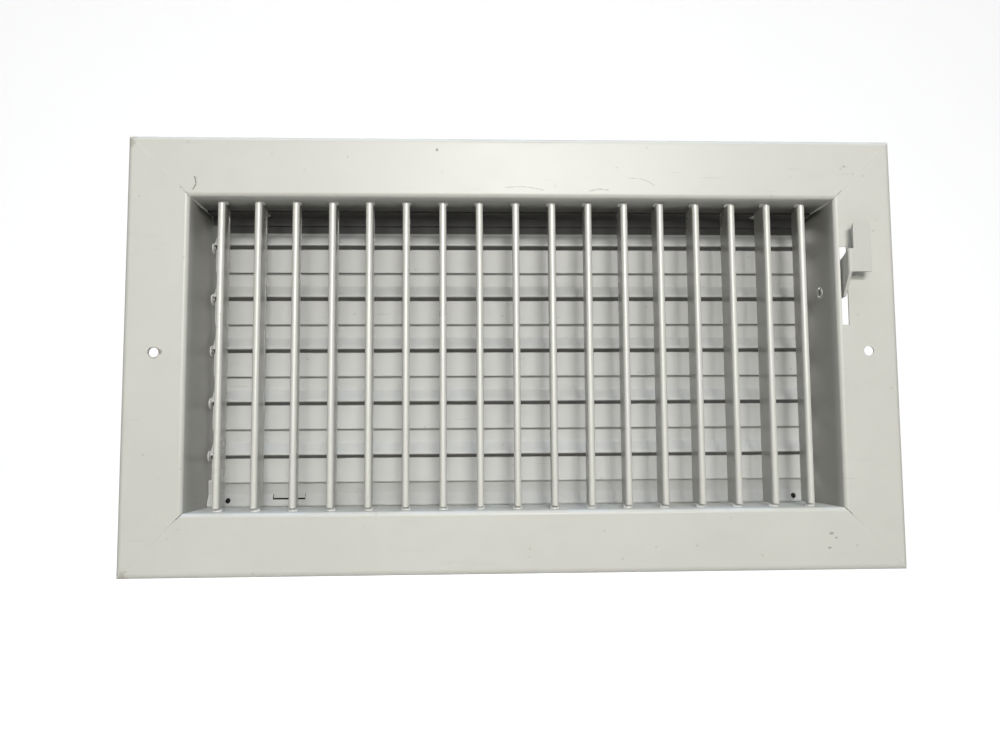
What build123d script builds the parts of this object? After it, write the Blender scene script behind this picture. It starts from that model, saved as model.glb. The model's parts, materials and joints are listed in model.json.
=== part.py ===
from build123d import *
from math import atan2, cos, degrees, hypot, radians, sin
import os

# Sidewall supply register: a mitred sheet-metal face, one row of upright fins turned by hand,
# and behind them a five-blade damper that a lever on the face opens and shuts.
# Millimetres. The origin is the middle of the face's front plane. +X is to the right,
# +Y goes back into the wall and +Z is up.

# ---- face and throat -------------------------------------------------------
FACE_WIDTH = 349.25
FACE_HEIGHT = 196.85
BORDER = 27.8
SHEET = 0.8
LIP_DEPTH = 6.5
LIP_BEND = 1.8
THROAT_BEND = 1.1
THROAT_BEHIND_PIVOTS = 10.0
MITRE_GAP = 0.14
SCREW_HOLE_R = 2.2

# ---- corner joints ---------------------------------------------------------
GUSSET_ARM = 42.0
GUSSET_WIDTH = 15.0
GUSSET_SHEET = 1.0
ANGLE_LEG = 11.0
ANGLE_SHEET = 0.8
ANGLE_SETBACK = 14.0

# ---- fins ------------------------------------------------------------------
FIN_COUNT = 17
FIN_PITCH = 16.8
FIN_CHORD = 16.0
FIN_NOSE_SETBACK = 5.0
FIN_NOSE_TO_PIVOT = 4.5
FIN_THICK = 3.5
FIN_TAIL_THICK = 1.0
FIN_CORNER_R = 2.0
FIN_PIN_R = 1.12
FIN_PIN_CLEARANCE = 0.08
FIN_END_GAP = 0.3
FIN_SET_ANGLES = {1: 3.7, 3: 4.6, 17: -8.0}

# ---- fin bushes ------------------------------------------------------------
FIN_BUSH_R = 1.8
FIN_BUSH_FLANGE_R = 2.15
FIN_BUSH_FLANGE = 1.2
FIN_BUSH_CLIP_R = 2.4
FIN_BUSH_CLIP = 1.0

# ---- damper blades ---------------------------------------------------------
BLADE_COUNT = 5
BLADE_PITCH = 25.4
BLADE_BANK_Z = 4.3
BLADE_PIVOT_Y = 36.0
BLADE_SHEET = 0.7
BLADE_LEFT_GAP = 2.2
BLADE_RIGHT_GAP = 5.3
BLADE_OPENING = 78.0
BAND_Y = -2.9
BAND_LENGTH = 12.7
BAND_TOP = -1.0
RIDGE_Y = -6.3
RIDGE_Z = 0.6
SHOULDER_Z = 6.2
BLADE_LAP = 1.3
LAP_GAP = 0.8
BLADE_BENDS = [1.5, 0.4, 0.4]

# ---- blade pivots ----------------------------------------------------------
BLADE_PIN_R = 1.25
BLADE_PIN_CLEARANCE = 0.07
BLADE_PIN_HEAD_R = 2.0
BLADE_PIN_HEAD = 0.8
BLADE_BUSH_R = 2.2
BLADE_BUSH_FLANGE_R = 2.7
BLADE_BUSH_FLANGE = 0.7
BLADE_BUSH_CLIP_R = 2.7
BLADE_BUSH_CLIP = 0.6
EAR_R = 3.2
EAR_BELOW = 6.4
EAR_ABOVE = 2.0

# ---- tie bar ---------------------------------------------------------------
TIE_CRANK = 7.0
TIE_WIDTH = 5.0
TIE_SHEET = 1.2
TIE_GAP = 1.7
TIE_END = 3.5
TIE_RIVET_R = 1.2
TIE_RIVET_HEAD_R = 2.1
TIE_RIVET_HEAD = 0.8
TIE_RIVET_PLAY = 0.2
LUG_R = 2.9

# ---- stop strips -----------------------------------------------------------
STRIP_SHEET = 0.7
STRIP_FOOT = 10.0
STRIP_END_GAP = 0.4
TOP_STRIP_BEND = 0.4
BOTTOM_STRIP_BENDS = [1.0, 0.3]
TOP_STRIP_LAP = 3.2
BOTTOM_SLOPE_RISE = 6.0
BOTTOM_SLOPE_RUN = 3.0
STRIP_HOLE_R = 1.3
STRIP_HOLE_INSET = 10.0
TONGUE_X = -108.0
TONGUE_WIDTH = 15.5
TONGUE_DROP = 2.6
RIVET_R = 1.4
RIVET_HEAD_R = 2.3
RIVET_HEAD = 0.8
RIVET_SPACING = 240.0

# ---- lever -----------------------------------------------------------------
LEVER_PIVOT_Y = 17.5
LEVER_SHEET = 1.4
LEVER_PLAY = 0.3
LEVER_BOSS_R = 6.0
LEVER_NECK_LOW = -4.5
LEVER_NECK_HIGH = 13.4
LEVER_ARM_WIDTH = 9.0
LEVER_FIT = 0.08
TAB_SETBACK = 6.6
TAB_WIDTH = 10.5
TAB_NOTCH = 2.4
TAB_NOTCH_UP = 10.7
TAB_TALL = 23.2
TAB_LOW = 5.6
TAB_CORNER_R = 2.2
SLOT_WIDTH = 3.2
SLOT_LENGTH = 36.2
SLOT_RISE = 0.4
EYELET_R = 1.9
EYELET_BORE_R = 1.2
EYELET_HEAD_R = 2.8
EYELET_HEAD = 0.6
SPACER_R = 4.5

# ---- crank that the lever drives -------------------------------------------
DRIVEN_BLADE = 2
CRANK_R = 6.0
CRANK_SHEET = 1.0
CRANK_GAP = 0.3
CRANK_HUB_R = 3.4
CRANK_EYE_R = 2.8
DRIVE_PIN_R = 1.3
DRIVE_SLOT_PLAY = 0.65
DRIVE_SLOT_END = 0.5

# ---- places worked out from the sizes above --------------------------------
HALF_W = FACE_WIDTH / 2
HALF_H = FACE_HEIGHT / 2
THROAT_X = HALF_W - BORDER
THROAT_Z = HALF_H - BORDER
COLLAR_X = THROAT_X + SHEET
COLLAR_Z = THROAT_Z + SHEET
THROAT_DEPTH = BLADE_PIVOT_Y + THROAT_BEHIND_PIVOTS
SCREW_X = HALF_W - BORDER / 2
CUT = 1.0

FIN_Y = FIN_NOSE_SETBACK + FIN_NOSE_TO_PIVOT
FIN_TOP = THROAT_Z - FIN_BUSH_FLANGE - FIN_END_GAP
FIN_XS = [(i - (FIN_COUNT - 1) / 2) * FIN_PITCH for i in range(FIN_COUNT)]

BLADE_LEFT = -THROAT_X + BLADE_LEFT_GAP
BLADE_RIGHT = THROAT_X - BLADE_RIGHT_GAP
BLADE_ZS = [BLADE_BANK_Z + ((BLADE_COUNT - 1) / 2 - i) * BLADE_PITCH for i in range(BLADE_COUNT)]
FLANGE_Y = BAND_Y + BLADE_SHEET + LAP_GAP
FLANGE_LENGTH = BLADE_PITCH - BAND_LENGTH + BLADE_LAP
HALF_OPENING = radians(BLADE_OPENING / 2)
LUG_Y = TIE_CRANK * cos(HALF_OPENING)
LUG_Z = TIE_CRANK * sin(HALF_OPENING)
TIE_X = BLADE_RIGHT + TIE_GAP

# The top strip's lip hangs in front of the top blade's flange, and the bottom strip's
# flange stands behind the bottom blade's band.
TOP_STRIP_Y = BLADE_PIVOT_Y + BAND_Y + STRIP_SHEET
TOP_STRIP_LOW = BLADE_ZS[0] + FLANGE_LENGTH - TOP_STRIP_LAP
BOTTOM_STRIP_Y = BLADE_PIVOT_Y + FLANGE_Y
BOTTOM_STRIP_BASE = BOTTOM_STRIP_Y - BOTTOM_SLOPE_RUN
BOTTOM_STRIP_TOP = BLADE_ZS[-1] - BAND_LENGTH + BLADE_LAP

CRANK_X = COLLAR_X + BLADE_BUSH_CLIP + CRANK_GAP
LEVER_X = CRANK_X + CRANK_SHEET + LEVER_PLAY
LEVER_Z = BLADE_ZS[DRIVEN_BLADE - 1]
LEVER_REACH = BLADE_PIVOT_Y - LEVER_PIVOT_Y
DRIVE_Y = BLADE_PIVOT_Y - CRANK_R * cos(HALF_OPENING)
DRIVE_Z = LEVER_Z - CRANK_R * sin(HALF_OPENING)
ARM_NEAR = LEVER_REACH - CRANK_R - DRIVE_SLOT_END
ARM_FAR = hypot(DRIVE_Y - LEVER_PIVOT_Y, DRIVE_Z - LEVER_Z) + DRIVE_SLOT_END
ARM_ANGLE = degrees(atan2(DRIVE_Z - LEVER_Z, DRIVE_Y - LEVER_PIVOT_Y))
SLOT_X = LEVER_X + LEVER_SHEET / 2
TAB_Y = -TAB_SETBACK


def finish(piece, name):
    piece.label = name
    export_step(piece, f"parts/{name}.step")


def bent_sheet(plane, corners, bends, thick):
    """Sketch of bent sheet. corners are those of one skin, and the other skin lies to their left.

    bends are the inside radii, one for each corner between the ends.
    """
    skin = [Vector(*c) for c in corners]
    runs = [(b - a).normalized() for a, b in zip(skin, skin[1:])]
    left = [Vector(-r.Y, r.X) for r in runs]
    other = [skin[0] + left[0] * thick]
    for corner, before, after in zip(skin[1:], left, left[1:]):
        other.append(corner + (before + after) * (thick / (1 + before.dot(after))))
    other.append(skin[-1] + left[-1] * thick)
    turns_left = [a.X * b.Y - a.Y * b.X > 0 for a, b in zip(runs, runs[1:])]
    with BuildSketch(plane) as section:
        with BuildLine():
            near = FilletPolyline(*skin, radius=[b + thick * turn for b, turn in zip(bends, turns_left)])
            far = FilletPolyline(*other, radius=[b + thick * (not turn) for b, turn in zip(bends, turns_left)])
            Line(near @ 0, far @ 0)
            Line(near @ 1, far @ 1)
        make_face()
    return section.sketch


# ---- face rails ------------------------------------------------------------

def rail_blank(run, outward, half_length, half_face):
    """One rail before its holes: lip, border and throat wall in one bent sheet, mitred at both ends.

    run is the direction that the rail runs in, and outward points from the throat to the outer edge.
    """
    throat = half_face - BORDER
    corners = [(LIP_DEPTH, half_face), (0, half_face), (0, throat), (THROAT_DEPTH, throat)]
    plane = Plane(origin=(0, 0, 0), x_dir=(0, 1, 0), z_dir=run)
    section = bent_sheet(plane, corners, [LIP_BEND, THROAT_BEND], SHEET)
    with BuildPart() as rail:
        extrude(section, amount=half_length, both=True)
        for end in (-1, 1):
            corner = outward * half_face + run * (end * half_length)
            normal = (run * end - outward).normalized()
            split(bisect_by=Plane(origin=corner - normal * (MITRE_GAP / 2), z_dir=normal), keep=Keep.BOTTOM)
    return rail.part


def level_rail(up, name):
    """Top rail (up = 1) or bottom rail (up = -1), with its fin bush holes and strip rivet holes."""
    with BuildPart() as rail:
        add(rail_blank(Vector(up, 0, 0), Vector(0, 0, up), HALF_W, HALF_H))
        with BuildSketch(Plane.XY.offset(up * THROAT_Z - CUT)):
            with Locations(*[(x, FIN_Y) for x in FIN_XS]):
                Circle(FIN_BUSH_R)
            with Locations(*strip_rivet_places(up)):
                Circle(RIVET_R)
        extrude(amount=SHEET + 2 * CUT, mode=Mode.SUBTRACT)
    finish(rail.part, name)


def strip_rivet_places(up):
    """Plan positions of the rivets through the strip's foot on the top (1) or bottom (-1) wall."""
    y = TOP_STRIP_Y - STRIP_FOOT / 2 if up > 0 else BOTTOM_STRIP_BASE + STRIP_FOOT / 2 + STRIP_SHEET
    return [(-RIVET_SPACING / 2, y), (RIVET_SPACING / 2, y)]


def side_rail(right, name):
    """Right rail (right = 1) or left rail (right = -1), with its screw hole and pivot holes."""
    with BuildPart() as rail:
        add(rail_blank(Vector(0, 0, -right), Vector(right, 0, 0), HALF_H, HALF_W))
        with BuildSketch(Plane.YZ.offset(right * THROAT_X - CUT)):
            with Locations(*[(BLADE_PIVOT_Y, z) for z in BLADE_ZS]):
                Circle(BLADE_BUSH_R)
            if right > 0:
                with Locations((LEVER_PIVOT_Y, LEVER_Z)):
                    Circle(EYELET_R)
        extrude(amount=SHEET + 2 * CUT, mode=Mode.SUBTRACT)
        with BuildSketch(Plane.XZ.offset(CUT)):
            with Locations((right * SCREW_X, 0)):
                Circle(SCREW_HOLE_R)
            if right > 0:
                with Locations((SLOT_X, LEVER_Z + SLOT_RISE)):
                    Rectangle(SLOT_WIDTH, SLOT_LENGTH)
        extrude(amount=-SHEET - 2 * CUT, mode=Mode.SUBTRACT)
    finish(rail.part, name)


def make_rails():
    level_rail(1, "frame_top")
    level_rail(-1, "frame_bottom")
    side_rail(-1, "frame_left")
    side_rail(1, "frame_right")


# ---- corner gussets and angles ---------------------------------------------

def make_corner_gussets():
    """Flat L plates against the back of the border, across each mitre."""
    outer_x = HALF_W - (BORDER + GUSSET_WIDTH) / 2 + GUSSET_WIDTH
    outer_z = HALF_H - (BORDER + GUSSET_WIDTH) / 2 + GUSSET_WIDTH
    with BuildPart() as gussets:
        with BuildSketch(Plane.XZ.offset(-SHEET)):
            for sx in (-1, 1):
                for sz in (-1, 1):
                    with Locations((sx * (outer_x - GUSSET_ARM / 2), sz * (outer_z - GUSSET_WIDTH / 2))):
                        Rectangle(GUSSET_ARM, GUSSET_WIDTH)
                    with Locations((sx * (outer_x - GUSSET_WIDTH / 2), sz * (outer_z - GUSSET_ARM / 2))):
                        Rectangle(GUSSET_WIDTH, GUSSET_ARM)
        extrude(amount=-GUSSET_SHEET)
    finish(gussets.part, "corner_gussets")


def make_corner_angles():
    """Angles along the outside of the throat's four corners, behind the face."""
    run = THROAT_DEPTH - ANGLE_SETBACK
    with BuildPart() as angles:
        with BuildSketch(Plane.XZ.offset(-ANGLE_SETBACK)):
            for sx in (-1, 1):
                for sz in (-1, 1):
                    flat_x = sx * (COLLAR_X + ANGLE_SHEET - ANGLE_LEG / 2)
                    flat_z = sz * (COLLAR_Z + ANGLE_SHEET - ANGLE_LEG / 2)
                    with Locations((flat_x, sz * (COLLAR_Z + ANGLE_SHEET / 2))):
                        Rectangle(ANGLE_LEG, ANGLE_SHEET)
                    with Locations((sx * (COLLAR_X + ANGLE_SHEET / 2), flat_z)):
                        Rectangle(ANGLE_SHEET, ANGLE_LEG)
        extrude(amount=-run)
    finish(angles.part, "collar_corner_angles")


# ---- fins and their bushes -------------------------------------------------

def make_fin(number):
    """A teardrop fin with a turned pivot at each end, set at its own angle about the pivot."""
    x = FIN_XS[number - 1]
    angle = FIN_SET_ANGLES.get(number, 0.0)
    upright = Plane(origin=(x, FIN_Y, 0), z_dir=(0, 0, 1)).rotated((0, 0, angle))
    side = Plane(origin=upright.origin, x_dir=upright.y_dir, z_dir=upright.x_dir)
    nose = FIN_THICK / 2
    tail = FIN_TAIL_THICK / 2
    nose_y = nose - FIN_NOSE_TO_PIVOT
    tail_y = FIN_CHORD - FIN_NOSE_TO_PIVOT
    pin_end = THROAT_Z + SHEET + FIN_BUSH_CLIP / 2
    with BuildPart() as fin:
        with BuildSketch(upright):
            with Locations((0, nose_y)):
                Circle(nose)
            with BuildLine():
                Polyline(
                    (-nose, nose_y), (-tail, tail_y), (tail, tail_y), (nose, nose_y), close=True,
                )
            make_face()
        extrude(amount=FIN_TOP, both=True)
        with BuildSketch(side):
            with Locations((tail_y - FIN_CHORD / 2, 0)):
                body = Rectangle(FIN_CHORD, 2 * FIN_TOP)
            fillet(body.vertices().group_by(Axis.X)[0], FIN_CORNER_R)
        extrude(amount=FIN_THICK, both=True, mode=Mode.INTERSECT)
        with BuildSketch(upright):
            Circle(FIN_PIN_R)
        extrude(amount=pin_end, both=True)
    finish(fin.part, f"fin_{number:02d}")


def make_fin_bushes(up, name):
    """Nylon bushes for the fins in the top (1) or bottom (-1) throat wall."""
    inside = THROAT_Z - FIN_BUSH_FLANGE
    outside = THROAT_Z + SHEET
    with BuildPart() as bushes:
        for radius, low, high in (
            (FIN_BUSH_FLANGE_R, inside, THROAT_Z),
            (FIN_BUSH_R, THROAT_Z, outside),
            (FIN_BUSH_CLIP_R, outside, outside + FIN_BUSH_CLIP),
        ):
            with BuildSketch(Plane.XY.offset(up * low)):
                with Locations(*[(x, FIN_Y) for x in FIN_XS]):
                    Circle(radius)
            extrude(amount=up * (high - low))
        with BuildSketch(Plane.XY.offset(up * (inside - CUT))):
            with Locations(*[(x, FIN_Y) for x in FIN_XS]):
                Circle(FIN_PIN_R + FIN_PIN_CLEARANCE)
        extrude(amount=up * (outside + FIN_BUSH_CLIP - inside + 2 * CUT), mode=Mode.SUBTRACT)
    finish(bushes.part, name)


# ---- damper blades ---------------------------------------------------------

def make_blade(number):
    """One damper blade: the folded sheet, and an ear at each end that carries its pivot pin."""
    centre = (0, BLADE_PIVOT_Y, BLADE_ZS[number - 1])
    section = Plane(origin=centre, x_dir=(0, 1, 0), z_dir=(1, 0, 0))
    corners = [
        (FLANGE_Y, FLANGE_LENGTH), (FLANGE_Y, SHOULDER_Z), (RIDGE_Y, RIDGE_Z),
        (BAND_Y, BAND_TOP), (BAND_Y, -BAND_LENGTH),
    ]
    profile = bent_sheet(section.offset(BLADE_LEFT), corners, BLADE_BENDS, BLADE_SHEET)
    front = FLANGE_Y + BLADE_SHEET / 2
    fold = BAND_Y + BLADE_SHEET / 2
    tangent = EAR_R * sin(radians(45))
    with BuildPart() as blade:
        extrude(profile, amount=BLADE_RIGHT - BLADE_LEFT)
        for x, lug in ((BLADE_LEFT, False), (BLADE_RIGHT - BLADE_SHEET, True)):
            with BuildSketch(section.offset(x)):
                with BuildLine():
                    Polyline(
                        (front, SHOULDER_Z + EAR_ABOVE), (RIDGE_Y + 2 * BLADE_SHEET, RIDGE_Z),
                        (fold, BAND_TOP), (fold, -EAR_BELOW), (tangent, -tangent), (tangent, tangent),
                        close=True,
                    )
                make_face()
                Circle(EAR_R)
                if lug:
                    with Locations((LUG_Y, LUG_Z)):
                        Circle(LUG_R)
                    with Locations(Location((LUG_Y / 2, LUG_Z / 2), BLADE_OPENING / 2)):
                        Rectangle(TIE_CRANK, 2 * LUG_R)
                    with Locations((LUG_Y, LUG_Z)):
                        Circle(TIE_RIVET_R + BLADE_PIN_CLEARANCE, mode=Mode.SUBTRACT)
                Circle(BLADE_PIN_R, mode=Mode.SUBTRACT)
            extrude(amount=BLADE_SHEET)
    finish(blade.part, f"damper_blade_{number}")


def make_blade_pins(number):
    """The blade's two riveted pivot pins, headed on the inside of its ears."""
    centre = (0, BLADE_PIVOT_Y, BLADE_ZS[number - 1])
    section = Plane(origin=centre, x_dir=(0, 1, 0), z_dir=(1, 0, 0))
    reach = CRANK_X + CRANK_SHEET if number == DRIVEN_BLADE else COLLAR_X + BLADE_BUSH_CLIP
    spans = (
        (BLADE_PIN_R, -COLLAR_X - BLADE_BUSH_CLIP, BLADE_LEFT + BLADE_SHEET),
        (BLADE_PIN_HEAD_R, BLADE_LEFT + BLADE_SHEET, BLADE_LEFT + BLADE_SHEET + BLADE_PIN_HEAD),
        (BLADE_PIN_R, BLADE_RIGHT - BLADE_SHEET, reach),
        (BLADE_PIN_HEAD_R, BLADE_RIGHT - BLADE_SHEET - BLADE_PIN_HEAD, BLADE_RIGHT - BLADE_SHEET),
    )
    with BuildPart() as pins:
        for radius, low, high in spans:
            with BuildSketch(section.offset(low)):
                Circle(radius)
            extrude(amount=high - low)
    finish(pins.part, f"blade_pins_{number}")


def make_blade_bushes(right, name):
    """Bushes for the blade pivots in the right (1) or left (-1) throat wall."""
    inside = THROAT_X - BLADE_BUSH_FLANGE
    places = [(BLADE_PIVOT_Y, z) for z in BLADE_ZS]
    with BuildPart() as bushes:
        for radius, low, high in (
            (BLADE_BUSH_FLANGE_R, inside, THROAT_X),
            (BLADE_BUSH_R, THROAT_X, COLLAR_X),
            (BLADE_BUSH_CLIP_R, COLLAR_X, COLLAR_X + BLADE_BUSH_CLIP),
        ):
            with BuildSketch(Plane.YZ.offset(right * low)):
                with Locations(*places):
                    Circle(radius)
            extrude(amount=right * (high - low))
        with BuildSketch(Plane.YZ.offset(right * (inside - CUT))):
            with Locations(*places):
                Circle(BLADE_PIN_R + BLADE_PIN_CLEARANCE)
        extrude(amount=right * (COLLAR_X + BLADE_BUSH_CLIP - inside + 2 * CUT), mode=Mode.SUBTRACT)
    finish(bushes.part, name)


# ---- tie bar ---------------------------------------------------------------

def make_tie_bar():
    """Upright bar beside the blades' right ends, riveted to each blade's lug."""
    y = BLADE_PIVOT_Y + LUG_Y
    low = BLADE_ZS[-1] + LUG_Z - TIE_END
    high = BLADE_ZS[0] + LUG_Z + TIE_END
    with BuildPart() as bar:
        with BuildSketch(Plane.YZ.offset(TIE_X)):
            with Locations((y, (low + high) / 2)):
                strip = Rectangle(TIE_WIDTH, high - low)
            fillet(strip.vertices(), TIE_WIDTH * 0.4)
            with Locations(*[(y, z + LUG_Z) for z in BLADE_ZS]):
                Circle(TIE_RIVET_R, mode=Mode.SUBTRACT)
        extrude(amount=TIE_SHEET)
    finish(bar.part, "tie_bar")


def make_tie_rivets():
    """Rivets fast in the tie bar, which each blade's lug turns on."""
    places = [(BLADE_PIVOT_Y + LUG_Y, z + LUG_Z) for z in BLADE_ZS]
    inner = BLADE_RIGHT - BLADE_SHEET - TIE_RIVET_PLAY
    outer = TIE_X + TIE_SHEET
    spans = (
        (TIE_RIVET_HEAD_R, inner - TIE_RIVET_HEAD, inner),
        (TIE_RIVET_R, inner, outer),
        (TIE_RIVET_HEAD_R, outer, outer + TIE_RIVET_HEAD),
    )
    with BuildPart() as rivets:
        for radius, low, high in spans:
            with BuildSketch(Plane.YZ.offset(low)):
                with Locations(*places):
                    Circle(radius)
            extrude(amount=high - low)
        with BuildSketch(Plane.YZ.offset(BLADE_RIGHT + TIE_RIVET_PLAY)):
            with Locations(*places):
                Circle(TIE_RIVET_HEAD_R * 0.9)
        extrude(amount=TIE_GAP - TIE_RIVET_PLAY)
    finish(rivets.part, "tie_rivets")


# ---- stop strips -----------------------------------------------------------

def make_top_strip():
    """Angle under the top wall, whose lip hangs in front of the top blade's flange."""
    t = STRIP_SHEET
    length = 2 * THROAT_X - 2 * STRIP_END_GAP
    y = TOP_STRIP_Y
    corners = [(y, TOP_STRIP_LOW), (y, THROAT_Z), (y - STRIP_FOOT, THROAT_Z)]
    profile = bent_sheet(Plane.YZ.offset(-length / 2), corners, [TOP_STRIP_BEND], t)
    with BuildPart() as strip:
        extrude(profile, amount=length)
        with BuildSketch(Plane.XY.offset(THROAT_Z - t - CUT)):
            with Locations(*strip_rivet_places(1)):
                Circle(RIVET_R)
        extrude(amount=t + 2 * CUT, mode=Mode.SUBTRACT)
    finish(strip.part, "stop_strip_top")


def make_bottom_strip():
    """Strip on the bottom wall: foot, slope and flange, with a lanced tongue and two holes."""
    t = STRIP_SHEET
    length = 2 * THROAT_X - 2 * STRIP_END_GAP
    y = BOTTOM_STRIP_Y
    base = BOTTOM_STRIP_BASE
    floor = -THROAT_Z
    shoulder = floor + BOTTOM_SLOPE_RISE
    top = BOTTOM_STRIP_TOP
    hole_z = (floor + shoulder) / 2
    corners = [(y, top), (y, shoulder), (base, floor), (base + STRIP_FOOT + t, floor)]
    profile = bent_sheet(Plane.YZ.offset(-length / 2), corners, BOTTOM_STRIP_BENDS, t)
    with BuildPart() as strip:
        extrude(profile, amount=length)
        with BuildSketch(Plane.XZ.offset(-base + CUT)):
            with Locations(
                (-THROAT_X + STRIP_HOLE_INSET, hole_z), (THROAT_X - STRIP_HOLE_INSET, hole_z),
            ):
                Circle(STRIP_HOLE_R)
            with Locations((TONGUE_X, shoulder - TONGUE_DROP / 2)):
                Rectangle(TONGUE_WIDTH, TONGUE_DROP)
        extrude(amount=-(y - base + 2 * CUT), mode=Mode.SUBTRACT)
        with BuildSketch(Plane.XZ.offset(-y)):
            with Locations((TONGUE_X, shoulder - TONGUE_DROP / 2 + t)):
                Rectangle(TONGUE_WIDTH - t, TONGUE_DROP)
        extrude(amount=-t)
        with BuildSketch(Plane.XY.offset(floor - CUT)):
            with Locations(*strip_rivet_places(-1)):
                Circle(RIVET_R)
        extrude(amount=t + 2 * CUT, mode=Mode.SUBTRACT)
    finish(strip.part, "stop_strip_bottom")


def make_strip_rivets():
    """Four rivets through the throat walls and the strips' feet."""
    inner = THROAT_Z - STRIP_SHEET
    with BuildPart() as rivets:
        for up in (-1, 1):
            for radius, low, high in (
                (RIVET_HEAD_R, inner - RIVET_HEAD, inner),
                (RIVET_R, inner, COLLAR_Z),
                (RIVET_HEAD_R, COLLAR_Z, COLLAR_Z + RIVET_HEAD),
            ):
                with BuildSketch(Plane.XY.offset(up * low)):
                    with Locations(*strip_rivet_places(up)):
                        Circle(radius)
                extrude(amount=up * (high - low))
    finish(rivets.part, "strip_rivets")


# ---- lever and what it drives ----------------------------------------------

def make_lever():
    """Flat lever through the face's slot: thumb tab in front, slotted arm behind its pivot."""
    side = Plane(origin=(LEVER_X, LEVER_PIVOT_Y, LEVER_Z), x_dir=(0, 1, 0), z_dir=(1, 0, 0))
    front = TAB_Y - LEVER_PIVOT_Y
    face = -LEVER_PIVOT_Y
    arm = radians(ARM_ANGLE)
    tab_left = LEVER_X
    with BuildPart() as lever:
        with BuildSketch(side):
            Circle(LEVER_BOSS_R)
            with BuildLine():
                Polyline(
                    (0, -LEVER_BOSS_R), (face, LEVER_NECK_LOW), (front, TAB_LOW),
                    (front, TAB_LOW + TAB_NOTCH_UP), (face, LEVER_NECK_HIGH), (0, LEVER_BOSS_R),
                    close=True,
                )
            make_face()
            with Locations(Location((ARM_FAR / 2 * cos(arm), ARM_FAR / 2 * sin(arm)), ARM_ANGLE)):
                Rectangle(ARM_FAR, LEVER_ARM_WIDTH)
            with Locations((ARM_FAR * cos(arm), ARM_FAR * sin(arm))):
                Circle(LEVER_ARM_WIDTH / 2)
            middle = (ARM_NEAR + ARM_FAR) / 2
            with Locations(Location((middle * cos(arm), middle * sin(arm)), ARM_ANGLE)):
                SlotCenterToCenter(
                    ARM_FAR - ARM_NEAR, 2 * (DRIVE_PIN_R + DRIVE_SLOT_PLAY), mode=Mode.SUBTRACT,
                )
            Circle(EYELET_R + LEVER_FIT, mode=Mode.SUBTRACT)
        extrude(amount=LEVER_SHEET)
        with BuildSketch(Plane.XZ.offset(-TAB_Y)):
            with BuildLine():
                Polyline(
                    (tab_left, LEVER_Z + TAB_LOW), (tab_left + TAB_WIDTH, LEVER_Z + TAB_LOW),
                    (tab_left + TAB_WIDTH, LEVER_Z + TAB_LOW + TAB_TALL),
                    (tab_left + TAB_NOTCH, LEVER_Z + TAB_LOW + TAB_TALL),
                    (tab_left + TAB_NOTCH, LEVER_Z + TAB_LOW + TAB_NOTCH_UP),
                    (tab_left, LEVER_Z + TAB_LOW + TAB_NOTCH_UP), close=True,
                )
            tab = make_face()
            fillet(tab.vertices().group_by(Axis.Y)[-1], TAB_CORNER_R)
        extrude(amount=-LEVER_SHEET)
        bend = lever.edges().filter_by(Axis.Z).group_by(Axis.Y)[0].sort_by(Axis.X)[0]
        fillet(bend, LEVER_SHEET * 0.9)
    finish(lever.part, "lever")


def make_lever_eyelet():
    """Hollow rivet through the throat wall, the spacer and the lever, rolled over at both ends."""
    centre = (0, LEVER_PIVOT_Y, LEVER_Z)
    section = Plane(origin=centre, x_dir=(0, 1, 0), z_dir=(1, 0, 0))
    outer = LEVER_X + LEVER_SHEET + LEVER_PLAY / 2
    with BuildPart() as eyelet:
        for radius, low, high in (
            (EYELET_HEAD_R, THROAT_X - EYELET_HEAD, THROAT_X),
            (EYELET_R, THROAT_X, outer),
            (EYELET_HEAD_R, outer, outer + EYELET_HEAD),
        ):
            with BuildSketch(section.offset(low)):
                Circle(radius)
            extrude(amount=high - low)
        rims = eyelet.edges().filter_by(GeomType.CIRCLE).filter_by(lambda e: e.radius > EYELET_R + 0.1)
        fillet(rims, EYELET_HEAD * 0.35)
        with BuildSketch(section.offset(THROAT_X - EYELET_HEAD - CUT)):
            Circle(EYELET_BORE_R)
        extrude(amount=outer - THROAT_X + 2 * EYELET_HEAD + 2 * CUT, mode=Mode.SUBTRACT)
    finish(eyelet.part, "lever_eyelet")


def make_lever_spacer():
    """Washer that holds the lever clear of the throat wall."""
    section = Plane(origin=(COLLAR_X, LEVER_PIVOT_Y, LEVER_Z), x_dir=(0, 1, 0), z_dir=(1, 0, 0))
    with BuildPart() as spacer:
        with BuildSketch(section):
            Circle(SPACER_R)
            Circle(EYELET_R, mode=Mode.SUBTRACT)
        extrude(amount=LEVER_X - LEVER_PLAY / 2 - COLLAR_X)
    finish(spacer.part, "lever_spacer")


def make_lever_crank():
    """Crank on the driven blade's pivot, outside the throat."""
    section = Plane(origin=(CRANK_X, BLADE_PIVOT_Y, LEVER_Z), x_dir=(0, 1, 0), z_dir=(1, 0, 0))
    eye = (DRIVE_Y - BLADE_PIVOT_Y, DRIVE_Z - LEVER_Z)
    with BuildPart() as crank:
        with BuildSketch(section):
            Circle(CRANK_HUB_R)
            with Locations(eye):
                Circle(CRANK_EYE_R)
            with Locations(Location((eye[0] / 2, eye[1] / 2), BLADE_OPENING / 2)):
                Rectangle(CRANK_R, 2 * CRANK_EYE_R)
            Circle(BLADE_PIN_R, mode=Mode.SUBTRACT)
            with Locations(eye):
                Circle(DRIVE_PIN_R, mode=Mode.SUBTRACT)
        extrude(amount=CRANK_SHEET)
    finish(crank.part, "lever_crank")


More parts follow.
